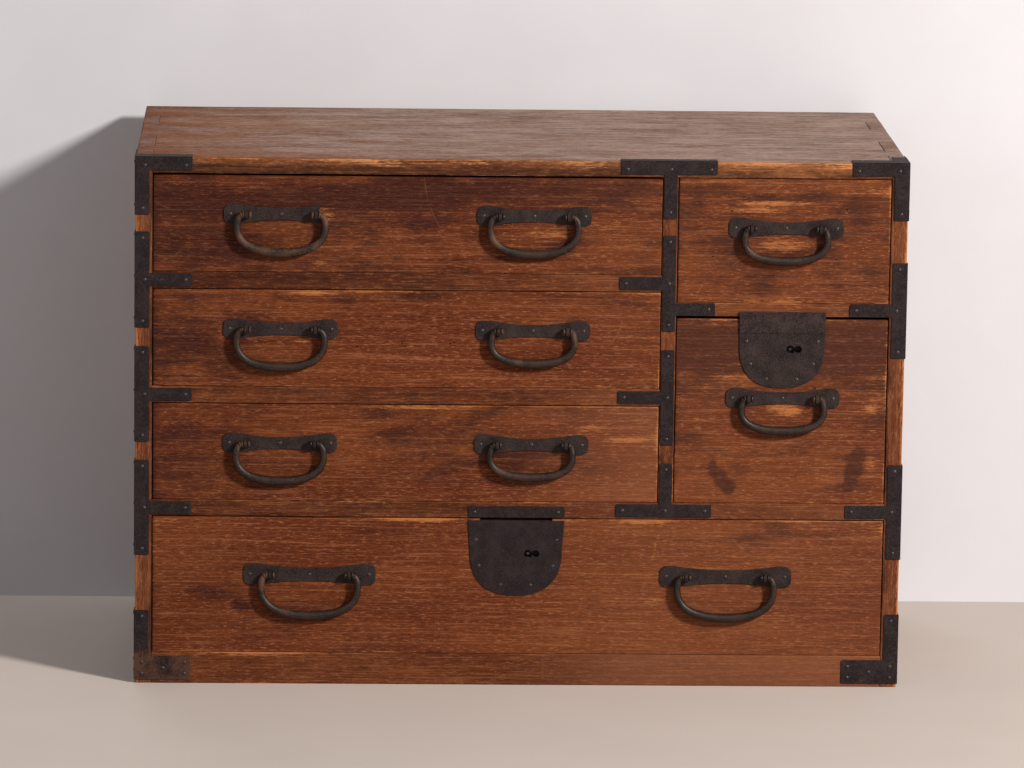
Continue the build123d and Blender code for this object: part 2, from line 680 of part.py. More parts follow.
left_column = (inner_left + post_left) / 2
half_left, half_bottom = left_handle_spacing / 2, bottom_handle_spacing / 2
for name, low, left_plate, right_shape, gap in (
        ("top_left_drawer", upper_rail_top, broken_plate, long_bail, shrunk_top_gap),
        ("middle_left_drawer", lower_rail_top, small_plate, short_bail, drawer_top_gap),
        ("lower_left_drawer", wide_rail_top, small_plate, short_bail, drawer_top_gap)):
    drawer(name, inner_left, post_left, low, low + left_opening_height, [
        (f"{name}_bail_left", left_column - half_left, left_handle_height, left_plate, long_bail),
        (f"{name}_bail_right", left_column + half_left, left_handle_height, small_plate, right_shape),
    ], top_gap=gap)
handle_x = right_column + right_handle_shift
drawer("top_right_drawer", post_right, inner_right, right_rail_top, under_top,
       [("top_right_drawer_bail", handle_x, top_right_handle_height, small_plate, short_bail)])
drawer("deep_right_drawer", post_right, inner_right, wide_rail_top, right_rail_low,
       [("deep_right_drawer_bail", handle_x, deep_handle_height, small_plate, short_bail)],
       lock=deep_lock, top_gap=deep_drawer_top_gap)
drawer("bottom_drawer", inner_left, inner_right, base_rail_height, wide_rail_low, [
    ("bottom_drawer_bail_left", -half_bottom, bottom_handle_height, large_plate, large_bail),
    ("bottom_drawer_bail_right", half_bottom, bottom_handle_height, large_plate, large_bail),
], lock=bottom_lock)
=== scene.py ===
# %% [markdown]
# # An iron-bound clothing chest
# The real object is a low chest of lacquered boards, bound with blackened iron. Six drawers slide
# out of it, each with drop handles, and two have a lock. The moving model comes in as a fixed frame.
# This lesson dresses it: every board, iron, nail and handle gets the surface that years of use gave it.

import json
import math

import bpy
import numpy as np
from mathutils import Matrix, Vector


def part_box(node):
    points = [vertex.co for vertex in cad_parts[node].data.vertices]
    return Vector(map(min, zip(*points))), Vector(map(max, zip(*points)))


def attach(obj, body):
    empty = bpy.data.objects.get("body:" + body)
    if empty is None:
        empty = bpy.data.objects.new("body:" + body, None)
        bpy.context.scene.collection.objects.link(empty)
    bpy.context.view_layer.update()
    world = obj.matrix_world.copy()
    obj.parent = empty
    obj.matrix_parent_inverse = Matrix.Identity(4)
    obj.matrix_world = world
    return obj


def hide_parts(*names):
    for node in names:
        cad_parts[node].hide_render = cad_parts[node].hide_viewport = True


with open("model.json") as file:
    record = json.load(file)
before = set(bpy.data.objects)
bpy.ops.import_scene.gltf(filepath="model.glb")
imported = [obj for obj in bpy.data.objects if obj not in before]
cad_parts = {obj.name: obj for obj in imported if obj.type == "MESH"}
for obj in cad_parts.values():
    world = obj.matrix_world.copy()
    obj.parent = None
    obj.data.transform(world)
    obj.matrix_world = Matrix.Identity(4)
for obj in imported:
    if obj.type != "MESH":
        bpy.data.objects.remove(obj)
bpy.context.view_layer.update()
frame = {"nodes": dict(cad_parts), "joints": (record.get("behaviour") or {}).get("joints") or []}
mm = 0.001

# %% [markdown]
# ## Where the eye stands
# A long lens far away keeps the chest's lines nearly parallel. The camera is turned by three angles:
# yaw to the side, pitch downwards and a small roll. From them come the directions it looks along,
# its right and its up, and those three are the columns of its matrix.

# %% Camera
def show(name, data):
    """Puts a camera, a lamp or a mesh into the scene."""
    made = bpy.data.objects.new(name, data)
    bpy.context.scene.collection.objects.link(made)
    return made


camera_place = Vector((-0.2425, -6.8104, 1.5688))
yaw, pitch, roll = (math.radians(angle) for angle in (2.023, 10.434, 0.805))
focal_length, sensor_width = 206.14, 36  # mm

ahead = Vector((math.sin(yaw) * math.cos(pitch), math.cos(yaw) * math.cos(pitch), -math.sin(pitch)))
level_right = Vector((math.cos(yaw), -math.sin(yaw), 0))
level_up = level_right.cross(ahead)
right = level_right * math.cos(roll) + level_up * math.sin(roll)
up = level_up * math.cos(roll) - level_right * math.sin(roll)

camera = show("camera", bpy.data.cameras.new("camera"))
camera.data.lens = focal_length
camera.data.sensor_width = sensor_width
camera.data.clip_end = 100
camera.matrix_world = Matrix.Translation(camera_place) @ Matrix((right, up, -ahead)).transposed().to_4x4()
bpy.context.scene.camera = camera
print("camera looks along", [round(c, 3) for c in ahead])

# %% [markdown]
# ## Writing materials
# A material is a small network. These helpers add one node at a time: each takes plain numbers or
# the output of another node, so a finish can be read from top to bottom like a recipe.

# %% Node helpers
def tint(red, green, blue):
    """A colour as a screen shows it, 0 to 255, turned into the light that a shader works with."""
    seen = np.array([red, green, blue]) / 255
    light = np.where(seen <= 0.04045, seen / 12.92, ((seen + 0.055) / 1.055) ** 2.4)
    return (*light.tolist(), 1.0)


def fill(tree, sockets, values):
    """Gives sockets their values: plain numbers, or links from another node's output."""
    for socket, value in values.items():
        if isinstance(value, bpy.types.NodeSocket):
            tree.links.new(value, sockets[socket])
        else:
            sockets[socket].default_value = value


def put(tree, kind, values=None, **options):
    """Adds a node with its options and its sockets' values, and gives its outputs."""
    made = tree.nodes.new("ShaderNode" + kind)
    for option, value in options.items():
        setattr(made, option, value)
    fill(tree, made.inputs, values or {})
    return made.outputs


def calc(tree, operation, *values):
    """One sum on one or two values."""
    return put(tree, "Math", dict(enumerate(values)), operation=operation)[0]


def chain(operation):
    """Makes a function that joins any number of values by one operation."""
    def joined(tree, first, *others):
        for other in others:
            first = calc(tree, operation, first, other)
        return first
    return joined


add, times, highest = chain("ADD"), chain("MULTIPLY"), chain("MAXIMUM")


def swing(tree, value, much=1.0):
    """How far a noise is from its middle, 0.5, times an amount."""
    return times(tree, calc(tree, "SUBTRACT", value, 0.5), much)


def between(tree, value, low, high, start=0.0, end=1.0):
    """A soft step: start below low, end above high, and a smooth rise from one to the other."""
    values = {"Value": value, "From Min": low, "From Max": high, "To Min": start, "To Max": end}
    return put(tree, "MapRange", values, interpolation_type="SMOOTHSTEP")[0]


def tone(tree, factor, first, second, how="MIX"):
    """Two colours mixed by a mask."""
    return put(tree, "Mix", {0: factor, 6: first, 7: second}, data_type="RGBA", blend_type=how)[2]


def cloud(tree, vector, scale, detail=2.0, roughness=0.5):
    """Noise stretched by a scale for each axis: a scale of 100 makes features about 10 mm long."""
    stretched = put(tree, "Mapping", {"Vector": vector, "Scale": scale})[0]
    return put(tree, "TexNoise", {"Vector": stretched, "Scale": 1.0, "Detail": detail,
                                  "Roughness": roughness})[0]


def group(name, **inputs):
    """An empty node group with named inputs: the group and these inputs."""
    tree = bpy.data.node_groups.new(name, "ShaderNodeTree")
    for title, kind in inputs.items():
        tree.interface.new_socket(title, in_out="INPUT", socket_type="NodeSocket" + kind)
    return tree, tree.nodes.new("NodeGroupInput").outputs


def deliver(tree, **masks):
    """Ends a node group: each mask leaves it by a socket with the mask's name."""
    for title in masks:
        tree.interface.new_socket(title, in_out="OUTPUT", socket_type="NodeSocketFloat")
    fill(tree, tree.nodes.new("NodeGroupOutput").inputs, masks)


def finish_with(name, settings):
    """A new material, its tree and its shader's sockets with the plain settings on them."""
    made = bpy.data.materials.new(name)
    made.use_nodes = True
    shader = made.node_tree.nodes["Principled BSDF"].inputs
    fill(made.node_tree, shader, settings)
    return made, made.node_tree, shader


def cover(tree, shader, colour, roughness, height, strength, depth):
    """Gives a finish its colour, its roughness and its relief, which is depth metres deep."""
    relief = put(tree, "Bump", {"Height": height, "Strength": strength, "Distance": depth})[0]
    fill(tree, shader, {"Base Color": colour, "Roughness": roughness, "Normal": relief})


# %% [markdown]
# ## Grain
# These boards are soft wood whose hard rings stand up where the wood between them has worn down.
# From afar that reads as fine fibres with thin, straight, broken lines a centimetre apart, short
# specks between them, and cloudy patches without a direction. It is noise, stretched along the
# grain, which runs along X here; a board whose grain runs upright turns its coordinates first.

# %% The grain group
grain, given = group("long_grain", Vector="Vector")
place = given["Vector"]
fibre = cloud(grain, place, (12, 520, 520), 3.0, 0.65)
speck = cloud(grain, place, (115, 640, 640), 3.0, 0.8)
blot = cloud(grain, place, (30, 95, 95), 4.0, 0.7)
patch = cloud(grain, place, (13, 27, 27), 5.0, 0.65)
drift = cloud(grain, place, (3, 14, 14), 3.0)
bend = cloud(grain, place, (0.8, 12, 12), 2.0)
broken = cloud(grain, place, (8, 90, 90), 2.0)
curl = calc(grain, "ABSOLUTE", swing(grain, cloud(grain, place, (4, 6, 6), 0.0)))
scratch = times(grain, between(grain, curl, 0.0, 0.0035, 1.0, 0.0), between(grain, patch, 0.52, 0.64))
ring = put(grain, "SeparateXYZ", {"Vector": place})["Z"]
wave = calc(grain, "SINE", add(grain, times(grain, ring, 640.0), times(grain, bend, 40.0)))
line = times(grain, between(grain, wave, 0.8, 0.97), between(grain, broken, 0.42, 0.58),
             between(grain, speck, 0.4, 0.6, 0.2, 1.0), between(grain, patch, 0.42, 0.6, 0.3, 1.0))
groove = times(grain, between(grain, wave, -0.97, -0.8, 1.0, 0.0),
               between(grain, broken, 0.42, 0.58, 1.0, 0.0))
height = add(grain, times(grain, fibre, 0.5), times(grain, line, 0.3), times(grain, speck, 0.6))
deliver(grain, Fibre=fibre, Speck=speck, Blot=blot, Patch=patch, Drift=drift, Line=line, Groove=groove,
        Scratch=scratch, Height=height)
print("grain group has", len(grain.nodes), "nodes")

# %% [markdown]
# ## Lacquered wood
# The boards were stained red-brown and wiped with dark lacquer. The lacquer is thick and purplish
# where hands didn't reach, thin and warm where they did, and gone along the edges, where bare tan
# wood shows. Each board carries painted values: worn, for how far the lacquer is rubbed off, dark,
# for how thick or sooty it is and, in a few places, for painted shade, dust, for what lies on the top,
# and haze, a paler veil that is partly dull, dusty lacquer and partly painted sheen on the
# side that the lamp lights. The grain breaks up all but that veil, so that none has a clean edge.

# %% Wood finishes
pore_shade = (0.5, 0.42, 0.32, 1.0)
# The veil's colour stands partly for dull lacquer and partly for painted sheen.
veil_and_sheen_colour, thin_dust, thick_dust = tint(138, 88, 62), tint(106, 82, 69), tint(188, 160, 148)


def wood(name, *colours, upright=False, rough=0.6, speckle=1.0, shift=0.0):
    """Wood in five colours: two of the thin finish, the thick one, bare wood and raised grain."""
    red, warm, deep, bare, light = (tint(*colour) for colour in colours)
    made, tree, shader = finish_with(name, {"IOR": 1.45, "Specular IOR Level": 0.07})
    place = put(tree, "TexCoord")["Object"]
    if upright:
        place = put(tree, "Mapping", {"Vector": place, "Rotation": (0, math.pi / 2, 0)})[0]
    place = put(tree, "Mapping", {"Vector": place, "Location": (shift, shift, shift)})[0]
    g = put(tree, "Group", {"Vector": place}, node_tree=grain)
    worn, dark, dust, haze = [put(tree, "Attribute", attribute_name=painted)["Fac"]
                              for painted in ("worn", "dark", "dust", "haze")]

    colour = tone(tree, between(tree, g["Drift"], 0.36, 0.64), red, warm)
    smoke = add(tree, dark, swing(tree, g["Patch"], 1.5), swing(tree, g["Blot"], 1.6),
                swing(tree, g["Speck"], 0.5), swing(tree, g["Fibre"], 0.6))
    colour = tone(tree, between(tree, smoke, 0.1, 1.0, 0.0, 0.92), colour, deep)
    pores = highest(tree, between(tree, g["Speck"], 0.32, 0.48, 0.9 * speckle, 0.0),
                    between(tree, g["Fibre"], 0.32, 0.47, 0.5, 0.0), times(tree, g["Groove"], 0.6))
    colour = tone(tree, pores, colour, pore_shade, "MULTIPLY")
    raised = highest(tree, between(tree, g["Speck"], 0.53, 0.7, 0.0, 0.8 * speckle),
                     times(tree, g["Line"], 0.75), between(tree, g["Fibre"], 0.53, 0.68, 0.0, 0.5))
    raised = times(tree, raised, between(tree, smoke, 0.2, 1.2, 1.0, 0.3))
    colour = tone(tree, highest(tree, raised, times(tree, g["Scratch"], 0.3)), colour, light)
    rub = add(tree, worn, swing(tree, g["Fibre"]), swing(tree, g["Speck"], 1.2), swing(tree, g["Patch"], 0.8))
    rub = between(tree, rub, 0.4, 0.95)
    # Painted sheen: the paler veil on the chest's right, where the lamp falls, is partly also dull, dusty
    # lacquer.
    colour = tone(tree, haze, tone(tree, rub, colour, bare), veil_and_sheen_colour)
    ash = add(tree, g["Speck"], swing(tree, g["Patch"], 0.6), swing(tree, g["Fibre"], 1.3))
    grey = tone(tree, between(tree, ash, 0.22, 0.78), thin_dust, thick_dust)
    dusty = add(tree, dust, swing(tree, g["Patch"], 0.8), swing(tree, g["Speck"], 0.9))
    dusty = times(tree, between(tree, dusty, 0.25, 1.0, 0.0, 0.9), between(tree, dust, 0.0, 0.3))
    pits = times(tree, between(tree, g["Speck"], 0.24, 0.34, 0.8, 0.0), between(tree, g["Patch"], 0.45, 0.6))
    colour = tone(tree, pits, tone(tree, dusty, colour, grey), deep)
    roughness = between(tree, add(tree, rub, g["Fibre"]), 0.2, 1.6, rough, 0.85)
    cover(tree, shader, colour, roughness, g["Height"], 0.7, mm)
    return made


tan = (172, 108, 62)
front_wood = wood("lacquered_front", (92, 43, 24), (110, 57, 30), (57, 28, 23), tan, (158, 100, 66))
frame_wood = wood("lacquered_rail", (86, 42, 24), (106, 57, 32), (56, 28, 22), tan, (146, 92, 58), shift=3.7)
post_wood = wood("lacquered_upright", (94, 47, 27), (112, 61, 35), (56, 28, 22), tan, (148, 92, 58),
                 upright=True, shift=1.9)
side_wood = wood("side_board_wood", (96, 50, 31), (112, 64, 40), (58, 34, 27), tan, (142, 92, 60),
                 upright=True, shift=5.3, rough=0.65)
top_wood = wood("dusty_top", (110, 63, 38), (136, 83, 50), (66, 38, 26), (196, 132, 84), (172, 115, 76),
                rough=0.68, shift=8.1)
inner_wood = wood("bare_inner_wood", (158, 120, 82), (176, 138, 96), (120, 86, 58), (190, 152, 108),
                  (192, 156, 114), rough=0.8, speckle=0.5, shift=2.3)
print("wood finishes", [m.name for m in (front_wood, frame_wood, post_wood, side_wood, top_wood, inner_wood)])

# %% [markdown]
# ## Blackened iron
# The irons were cut from hammered sheet and blackened hot. They are nearly matt, blotched brown by
# old rust, and dimpled by the hammer. Handles are rubbed by hands, so they are smoother and shine.

# %% The hammered iron group
hammered, given = group("hammered_iron", Vector="Vector", Rust="Float")
place = given["Vector"]
blotch = cloud(hammered, place, (55, 55, 55), 4.0, 0.6)
grit = cloud(hammered, place, (650, 650, 650), 2.0, 0.6)
patch = cloud(hammered, place, (28, 28, 28), 3.0, 0.6)
dimple = put(hammered, "TexVoronoi", {"Vector": place, "Scale": 130.0}, feature="SMOOTH_F1")["Distance"]
rusty = add(hammered, given["Rust"], swing(hammered, patch), swing(hammered, grit, 0.5))
height = add(hammered, times(hammered, dimple, 0.8), times(hammered, grit, 0.35))
deliver(hammered, Blotch=blotch, Grit=grit, Rusty=between(hammered, rusty, 0.2, 0.5), Height=height)


def iron(name, *colours, rough=0.6, metallic=0.0, depth=0.4 * mm, shine=0.13):
    """Iron in three colours: its black skin, the brown blotches on it and rust."""
    black, brown, rust = (tint(*colour) for colour in colours)
    made, tree, shader = finish_with(name, {"Metallic": metallic, "Specular IOR Level": shine})
    rusted = put(tree, "Attribute", attribute_name="rust")["Fac"]
    h = put(tree, "Group", {"Vector": put(tree, "TexCoord")["Object"], "Rust": rusted}, node_tree=hammered)
    mottled = add(tree, h["Blotch"], swing(tree, h["Grit"], 1.6))
    colour = tone(tree, between(tree, mottled, 0.25, 0.8), black, brown)
    roughness = between(tree, add(tree, h["Blotch"], h["Rusty"]), 0.3, 1.3, rough, rough + 0.22)
    cover(tree, shader, tone(tree, h["Rusty"], colour, rust), roughness, h["Height"], 0.6, depth)
    return made


strap_iron = iron("hammered_strap", (26, 19, 20), (46, 37, 37), (80, 54, 42))
plate_iron = iron("hammered_plate", (28, 21, 20), (58, 46, 43), (82, 56, 42))
nail_iron = iron("nail_head", (28, 22, 22), (46, 38, 37), (84, 56, 44), rough=0.36, depth=0.03 * mm,
                 shine=0.5)
bail_iron = iron("forged_handle", (16, 8, 5), (52, 33, 22), (84, 56, 38), rough=0.44, depth=0.6 * mm,
                 shine=0.3)
lock_steel = iron("lock_works", (50, 44, 42), (64, 58, 54), (84, 60, 46), rough=0.5, metallic=0.3)
print("iron finishes", [m.name for m in (strap_iron, plate_iron, nail_iron, bail_iron, lock_steel)])

# %% [markdown]
# ## Boards
# A board is a block on a lattice: planes cross it along each axis, closer together near its edges.
# Cells that a joint or a lock takes away are emptied, and the skin is every side between a full
# cell and an empty one. Points near an outer edge then move onto a small ball's surface, whose
# radius wanders along the edge, so that the edge is rounded more in one place than another.

# %% A smooth random field
def ripple(points, waves, seed, count=24):
    """A smooth field around 0, mostly within -1 and 1.

    It is the sum of many cosines. Each runs in a random direction, with a wavelength near ``waves``
    metres along each axis, and the sum is divided so that its spread is always the same."""
    dice = np.random.default_rng(seed)
    turns = dice.normal(size=(3, count)) / np.array(waves)[:, None]
    phases = dice.uniform(0, 2 * math.pi, count)
    return np.cos(points @ turns + phases).sum(1) / math.sqrt(2 * count)


# %% The skin of a lattice
def skin(filled):
    """The corners and four-sided faces between full and empty cells, facing out of the full ones.

    Along each axis the cells' filling is padded with empty ones. A step up from one cell to the next
    is a face that looks back along the axis, and a step down is one that looks forward."""
    corners_along = np.array(filled.shape) + 1
    faces = []
    for axis in range(3):
        padding = [(1, 1) if other == axis else (0, 0) for other in range(3)]
        steps = np.diff(np.pad(filled.astype(int), padding), axis=axis)
        across, along = np.eye(3, dtype=int)[[(axis + 1) % 3, (axis + 2) % 3]]
        for step, ring in ((-1, (0 * across, across, across + along, along)),
                           (1, (0 * across, along, across + along, across))):
            corner = np.argwhere(steps == step)
            faces.append(np.stack([np.ravel_multi_index((corner + offset).T, corners_along)
                                   for offset in ring], axis=1))
    faces = np.concatenate(faces)
    used, renumbered = np.unique(faces, return_inverse=True)
    return used, renumbered.reshape(faces.shape)


# %% A board
def lengths(vectors):
    """The length of each vector, never quite 0, as a column."""
    return np.maximum(np.linalg.norm(vectors, axis=1, keepdims=True), 1e-15)


def planes(low, high, step, soft, cuts):
    """Where a board is divided along one axis: evenly inside, closer at its ends, and at each cut."""
    near_end = soft * np.array([0, 0.35, 0.8, 1.6, 3.0])
    inside = np.linspace(low + near_end[-1], high - near_end[-1], max(2, round((high - low) / step)))
    where = np.concatenate([low + near_end, inside, high - near_end, cuts])
    where = np.unique(np.round(where[(where >= low) & (where <= high)], 7))
    return where[np.append(True, np.diff(where) > 1e-6)]


def board(low, high, cuts=(), soft=0.9 * mm, step=4 * mm, seed=0):
    """A board between two corners with boxes cut out of it: its points, its faces and each point's
    distance to the board's nearest edge.

    A point's rounding: clamp it into the board shrunk by the radius, and push it out from there by
    that radius. A point on the outside ends on a rounded surface, and one on a flat stays."""
    low, high = np.array(low), np.array(high)
    axes = [planes(low[a], high[a], step, soft, [side[a] for cut in cuts for side in cut]) for a in range(3)]
    middles = [(axis[1:] + axis[:-1]) / 2 for axis in axes]
    filled = np.ones([len(middle) for middle in middles], bool)
    for first, last in cuts:
        x, y, z = [(middle > first[a]) & (middle < last[a]) for a, middle in enumerate(middles)]
        filled &= ~(x[:, None, None] & y[None, :, None] & z[None, None, :])
    used, faces = skin(filled)
    points = np.stack(np.meshgrid(*axes, indexing="ij"), -1).reshape(-1, 3)[used]
    rim = np.sort(np.minimum(points - low, high - points), axis=1)[:, 1]
    radius = soft * (1 + 0.45 * np.clip(ripple(points, (0.03, 0.03, 0.03), seed), -1, 1))[:, None]
    core = np.clip(points, low + radius, high - radius)
    out = points - core
    outside = np.abs(out).max(1, keepdims=True) > 0.999 * radius
    return np.where(outside, core + out * radius / lengths(out), points), faces, rim


def stack(shapes):
    """Several shapes as one: their points, their faces renumbered, and their other values."""
    offsets = np.cumsum([0] + [len(shape[0]) for shape in shapes[:-1]])
    return (np.concatenate([shape[0] for shape in shapes]),
            np.concatenate([shape[1] + offset for shape, offset in zip(shapes, offsets)]),
            *[np.concatenate(values) for values in zip(*[shape[2:] for shape in shapes])])


# %% Putting a shape in the scene
def piece(node, body, slot, material, points, faces, smooth_under=50, part="", **painted):
    """A mesh from arrays of points and faces, with painted values, that rides on a body and stands
    for a CAD node or for a part of it."""
    mesh = bpy.data.meshes.new(node + part)
    mesh.from_pydata(points.tolist(), [], faces if isinstance(faces, list) else faces.tolist())
    for title, values in painted.items():
        mesh.attributes.new(title, "FLOAT", "POINT").data.foreach_set("value", values.astype(np.float32))
    mesh.shade_smooth()
    mesh.set_sharp_from_angle(angle=math.radians(smooth_under))
    mesh.materials.append(material)
    made = show(node + part, mesh)
    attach(made, body)
    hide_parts(node)


# %% [markdown]
# ## Wear and soot
# Lacquer goes first along the edges that hands and drawers rub, a little more here than there. The
# worn value falls off with the distance to the nearest edge. Single marks, such as a chip or a
# stain, are soft ovals on the front. The wood's figure shows through the drawer fronts as darker
# and lighter streaks.

# %% Painting
def spots(points, marks):
    """Soft ovals on the front: each is exp(-r^3), r being the distance in units of the oval's half
    sizes, times its strength. Marks are in millimetres across and up."""
    total = np.zeros(len(points))
    for x, z, half_width, half_height, strength in marks:
        r2 = ((points[:, 0] / mm - x) / half_width) ** 2 + ((points[:, 2] / mm - z) / half_height) ** 2
        total += strength * np.exp(-r2 ** 1.5)
    return total


def edge_wear(points, rim, seed, width=2.2 * mm, most=0.75):
    """How worn the edges are: exp(-distance / width), more in some stretches than in others."""
    stretch = np.clip(0.55 + 0.5 * ripple(points, (0.05, 0.05, 0.05), seed), 0.1, 1.2)
    return most * stretch * np.exp(-rim / width)


def veil_and_sheen_from(points, most):
    """A thin even veil on the front's right half, the side the lamp lights: partly painted sheen, partly dull
    lacquer. It grows from none to the most over 150 mm.
    """
    return most * np.clip((points[:, 0] + 20 * mm) / (150 * mm), 0, 1)


def figure(points, seed):
    """Streaks along the grain, dark above 0 and light below it, with blotches: more on the right."""
    much = 0.1 + 0.26 * np.clip(points[:, 0] / (400 * mm) + 0.5, 0, 1)
    streaks = ripple(points, (0.05, 0.05, 0.0026), seed)
    return much * (streaks + 0.8 * ripple(points, (0.016, 0.016, 0.007), seed + 1))


# %% [markdown]
# ## Carcass
# Two side boards carry everything. Their fingers come up through the top board's ends, and the
# rails and the post run between them at the front. The front edges of the sides are only as wide
# as the board is thick, so what the irons leave bare there is rubbed to tan.

# %% Sizes taken from the frame
left_side, right_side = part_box("left_side_board"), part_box("right_side_board")
top_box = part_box("top_board")
outer_left, inner_left = left_side[0].x, left_side[1].x
inner_right, outer_right = right_side[0].x, right_side[1].x
front_y, back_y = left_side[0].y, left_side[1].y
under_top, chest_top = top_box[0].z, top_box[1].z
post_left, post_right = (corner.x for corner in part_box("centre_post"))
rail_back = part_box("wide_shelf")[0].y
finger_ends = np.array([60, 95, 180, 280, 345]) * mm
joint_gap = 0.35 * mm
print("inside width", round((inner_right - inner_left) / mm), "mm")

# %% Side boards and top
rows = front_y + np.append(0, finger_ends)
tops_turn = list(zip(rows[1::2], np.append(rows[2::2], back_y)))
sides_turn = list(zip(rows[0::2], rows[1::2]))
everywhere = 1.0  # metres, well outside every board
board_thick = outer_right - inner_right
for name, x0, x1, seed in (("left_side_board", outer_left, inner_left, 3),
                           ("right_side_board", inner_right, outer_right, 4)):
    cuts = [((-everywhere, y0, under_top), (everywhere, y1, everywhere)) for y0, y1 in tops_turn]
    points, faces, rim = board((x0, front_y, 0), (x1, back_y, chest_top), cuts, 1.2 * mm, 6 * mm, seed)
    at_front = np.exp(-(points[:, 1] - front_y) / (6 * mm))
    outer = np.abs(points[:, 0]) - inner_right
    worn = edge_wear(points, rim, seed, 1.6 * mm, 0.6) * np.clip(outer / (8 * mm), 0.2, 1)
    worn += at_front * (0.05 + 0.7 * (outer / board_thick) ** 3)
    dark = 0.4 - 0.3 * at_front + 0.9 * at_front * np.exp(-outer / (4 * mm))
    dark += 0.25 * (ripple(points, (0.12, 0.12, 0.3), seed) + at_front * ripple(points, (1, 1, 0.02), seed))
    dust = (0.75 if x0 > 0 else 0.5) * (points[:, 2] > chest_top - 0.3 * mm) * (points[:, 1] > front_y + mm)
    piece(name, "carcass", "side_wood", side_wood, points, faces, worn=worn, dark=dark, dust=dust)

cuts = [((x0 - joint_gap, y0 - joint_gap, -everywhere), (x1 + joint_gap, y1 + joint_gap, everywhere))
        for x0, x1 in ((outer_left, inner_left), (inner_right, outer_right)) for y0, y1 in sides_turn]
points, faces, rim = board((outer_left, front_y, under_top), (outer_right, back_y, chest_top), cuts,
                           1.5 * mm, 5 * mm, 5)
across = (points[:, 0] - outer_left) / (outer_right - outer_left)
at_front = np.exp(-((points[:, 1] - front_y) / (2 * mm)) ** 2)
upper_half = 1 / (1 + np.exp(-(points[:, 2] - chest_top + 8 * mm) / (1.5 * mm)))
lowest_line = np.exp(-((points[:, 2] - under_top) / (1.2 * mm)) ** 2)
worn = at_front * upper_half * (0.3 + 0.3 * across + 0.3 * ripple(points, (0.03, 0.03, 0.006), 51))
worn += 0.45 * at_front * lowest_line + edge_wear(points, rim, 5, 1.5 * mm, 0.4)
dark = at_front * (0.2 + 0.7 * (1 - upper_half) * (1 - 0.4 * across)) + 0.2 * (1 - across)
dark += 0.2 * ripple(points, (0.2, 0.05, 0.03), 52) + 0.7 * (np.abs(points[:, 0]) > outer_right - 0.8 * mm)
dust = 1 - 0.6 * np.exp(-across / 0.28) - 0.25 * np.exp(-(points[:, 1] - front_y) / (30 * mm))
dust = dust * (points[:, 2] > chest_top - 0.6 * mm) * (1 - at_front)
piece("top_board", "carcass", "top_wood", top_wood, points, faces, worn=worn, dark=dark, dust=dust)

# %% Rails and post
# For each rail: its ends, how dark it is, and how much pale veil it has, partly painted sheen.
rails = {
    "base_rail": (inner_left, inner_right, 0.15, 0.42), "wide_rail": (inner_left, inner_right, 0.45, 0.15),
    "upper_left_rail": (inner_left, post_left, 0.4, 0.15),
    "lower_left_rail": (inner_left, post_left, 0.35, 0.15),
    "right_rail": (post_right, inner_right, 0.2, 0.15),
}
travel = {joint["child"]: joint["range_m"][1] for joint in frame["joints"] if joint["type"] == "slide"}
bolt_gap, mortise_spare = 0.5 * mm, 1.5 * mm


def mortise(drawer):
    """The slot in a rail's underside that takes the raised bolt of the drawer below it."""
    low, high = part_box(f"{drawer}_lock_bolt")
    top = high.z + travel[f"{drawer}_bolt"] + mortise_spare
    return (low.x - bolt_gap, low.y - bolt_gap, -everywhere), (high.x + bolt_gap, high.y + bolt_gap, top)


mortises = {"wide_rail": [mortise("bottom_drawer")], "right_rail": [mortise("deep_right_drawer")]}
for seed, (name, (x0, x1, soot, veil_and_sheen_amount)) in enumerate(rails.items(), 20):
    z0, z1 = (corner.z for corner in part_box(name))
    points, faces, rim = board((x0, front_y, z0), (x1, rail_back, z1), mortises.get(name, ()), mm, 3.5 * mm,
                               seed)
    worn = edge_wear(points, rim, seed, 2.5 * mm, 0.7)
    worn += 0.25 * np.clip(ripple(points, (0.09, 0.09, 0.02), seed + 50), 0, 1)
    # Darker towards the left: partly the rail's own tone, partly painted shade on the side away from the
    # lamp.
    dark = soot + 0.3 * ripple(points, (0.2, 0.2, 0.03), seed + 70) - 0.25 * points[:, 0] / inner_right
    piece(name, "carcass", "frame_wood", frame_wood, points, faces, worn=worn, dark=dark,
          haze=veil_and_sheen_from(points, veil_and_sheen_amount))

wide_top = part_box("wide_rail")[1].z
points, faces, rim = board((post_left, front_y, wide_top), (post_right, rail_back, under_top), (), 0.8 * mm,
                           3.5 * mm, 31)
piece("centre_post", "carcass", "frame_wood", post_wood, points, faces,
      worn=edge_wear(points, rim, 31), dark=0.3 + 0.3 * ripple(points, (0.05, 0.05, 0.15), 32))

# %% [markdown]
# Behind the rails the wood is bare. Shelves, divider, base, runners and back are plain boards, made
# of the same lattice as the ones in front, only coarser.

# %% Inner boards
def inner_piece(name, body, boxes, soft, step, seed, most, stained, waves):
    """Bare boards under one name, a little worn at the edges and unevenly stained."""
    points, faces, rim = stack([board(low, high, (), soft, step, seed + n)
                                for n, (low, high) in enumerate(boxes)])
    piece(name, body, "inner_wood", inner_wood, points, faces,
          worn=edge_wear(points, rim, seed, most=most), dark=stained + 0.3 * ripple(points, waves, seed))


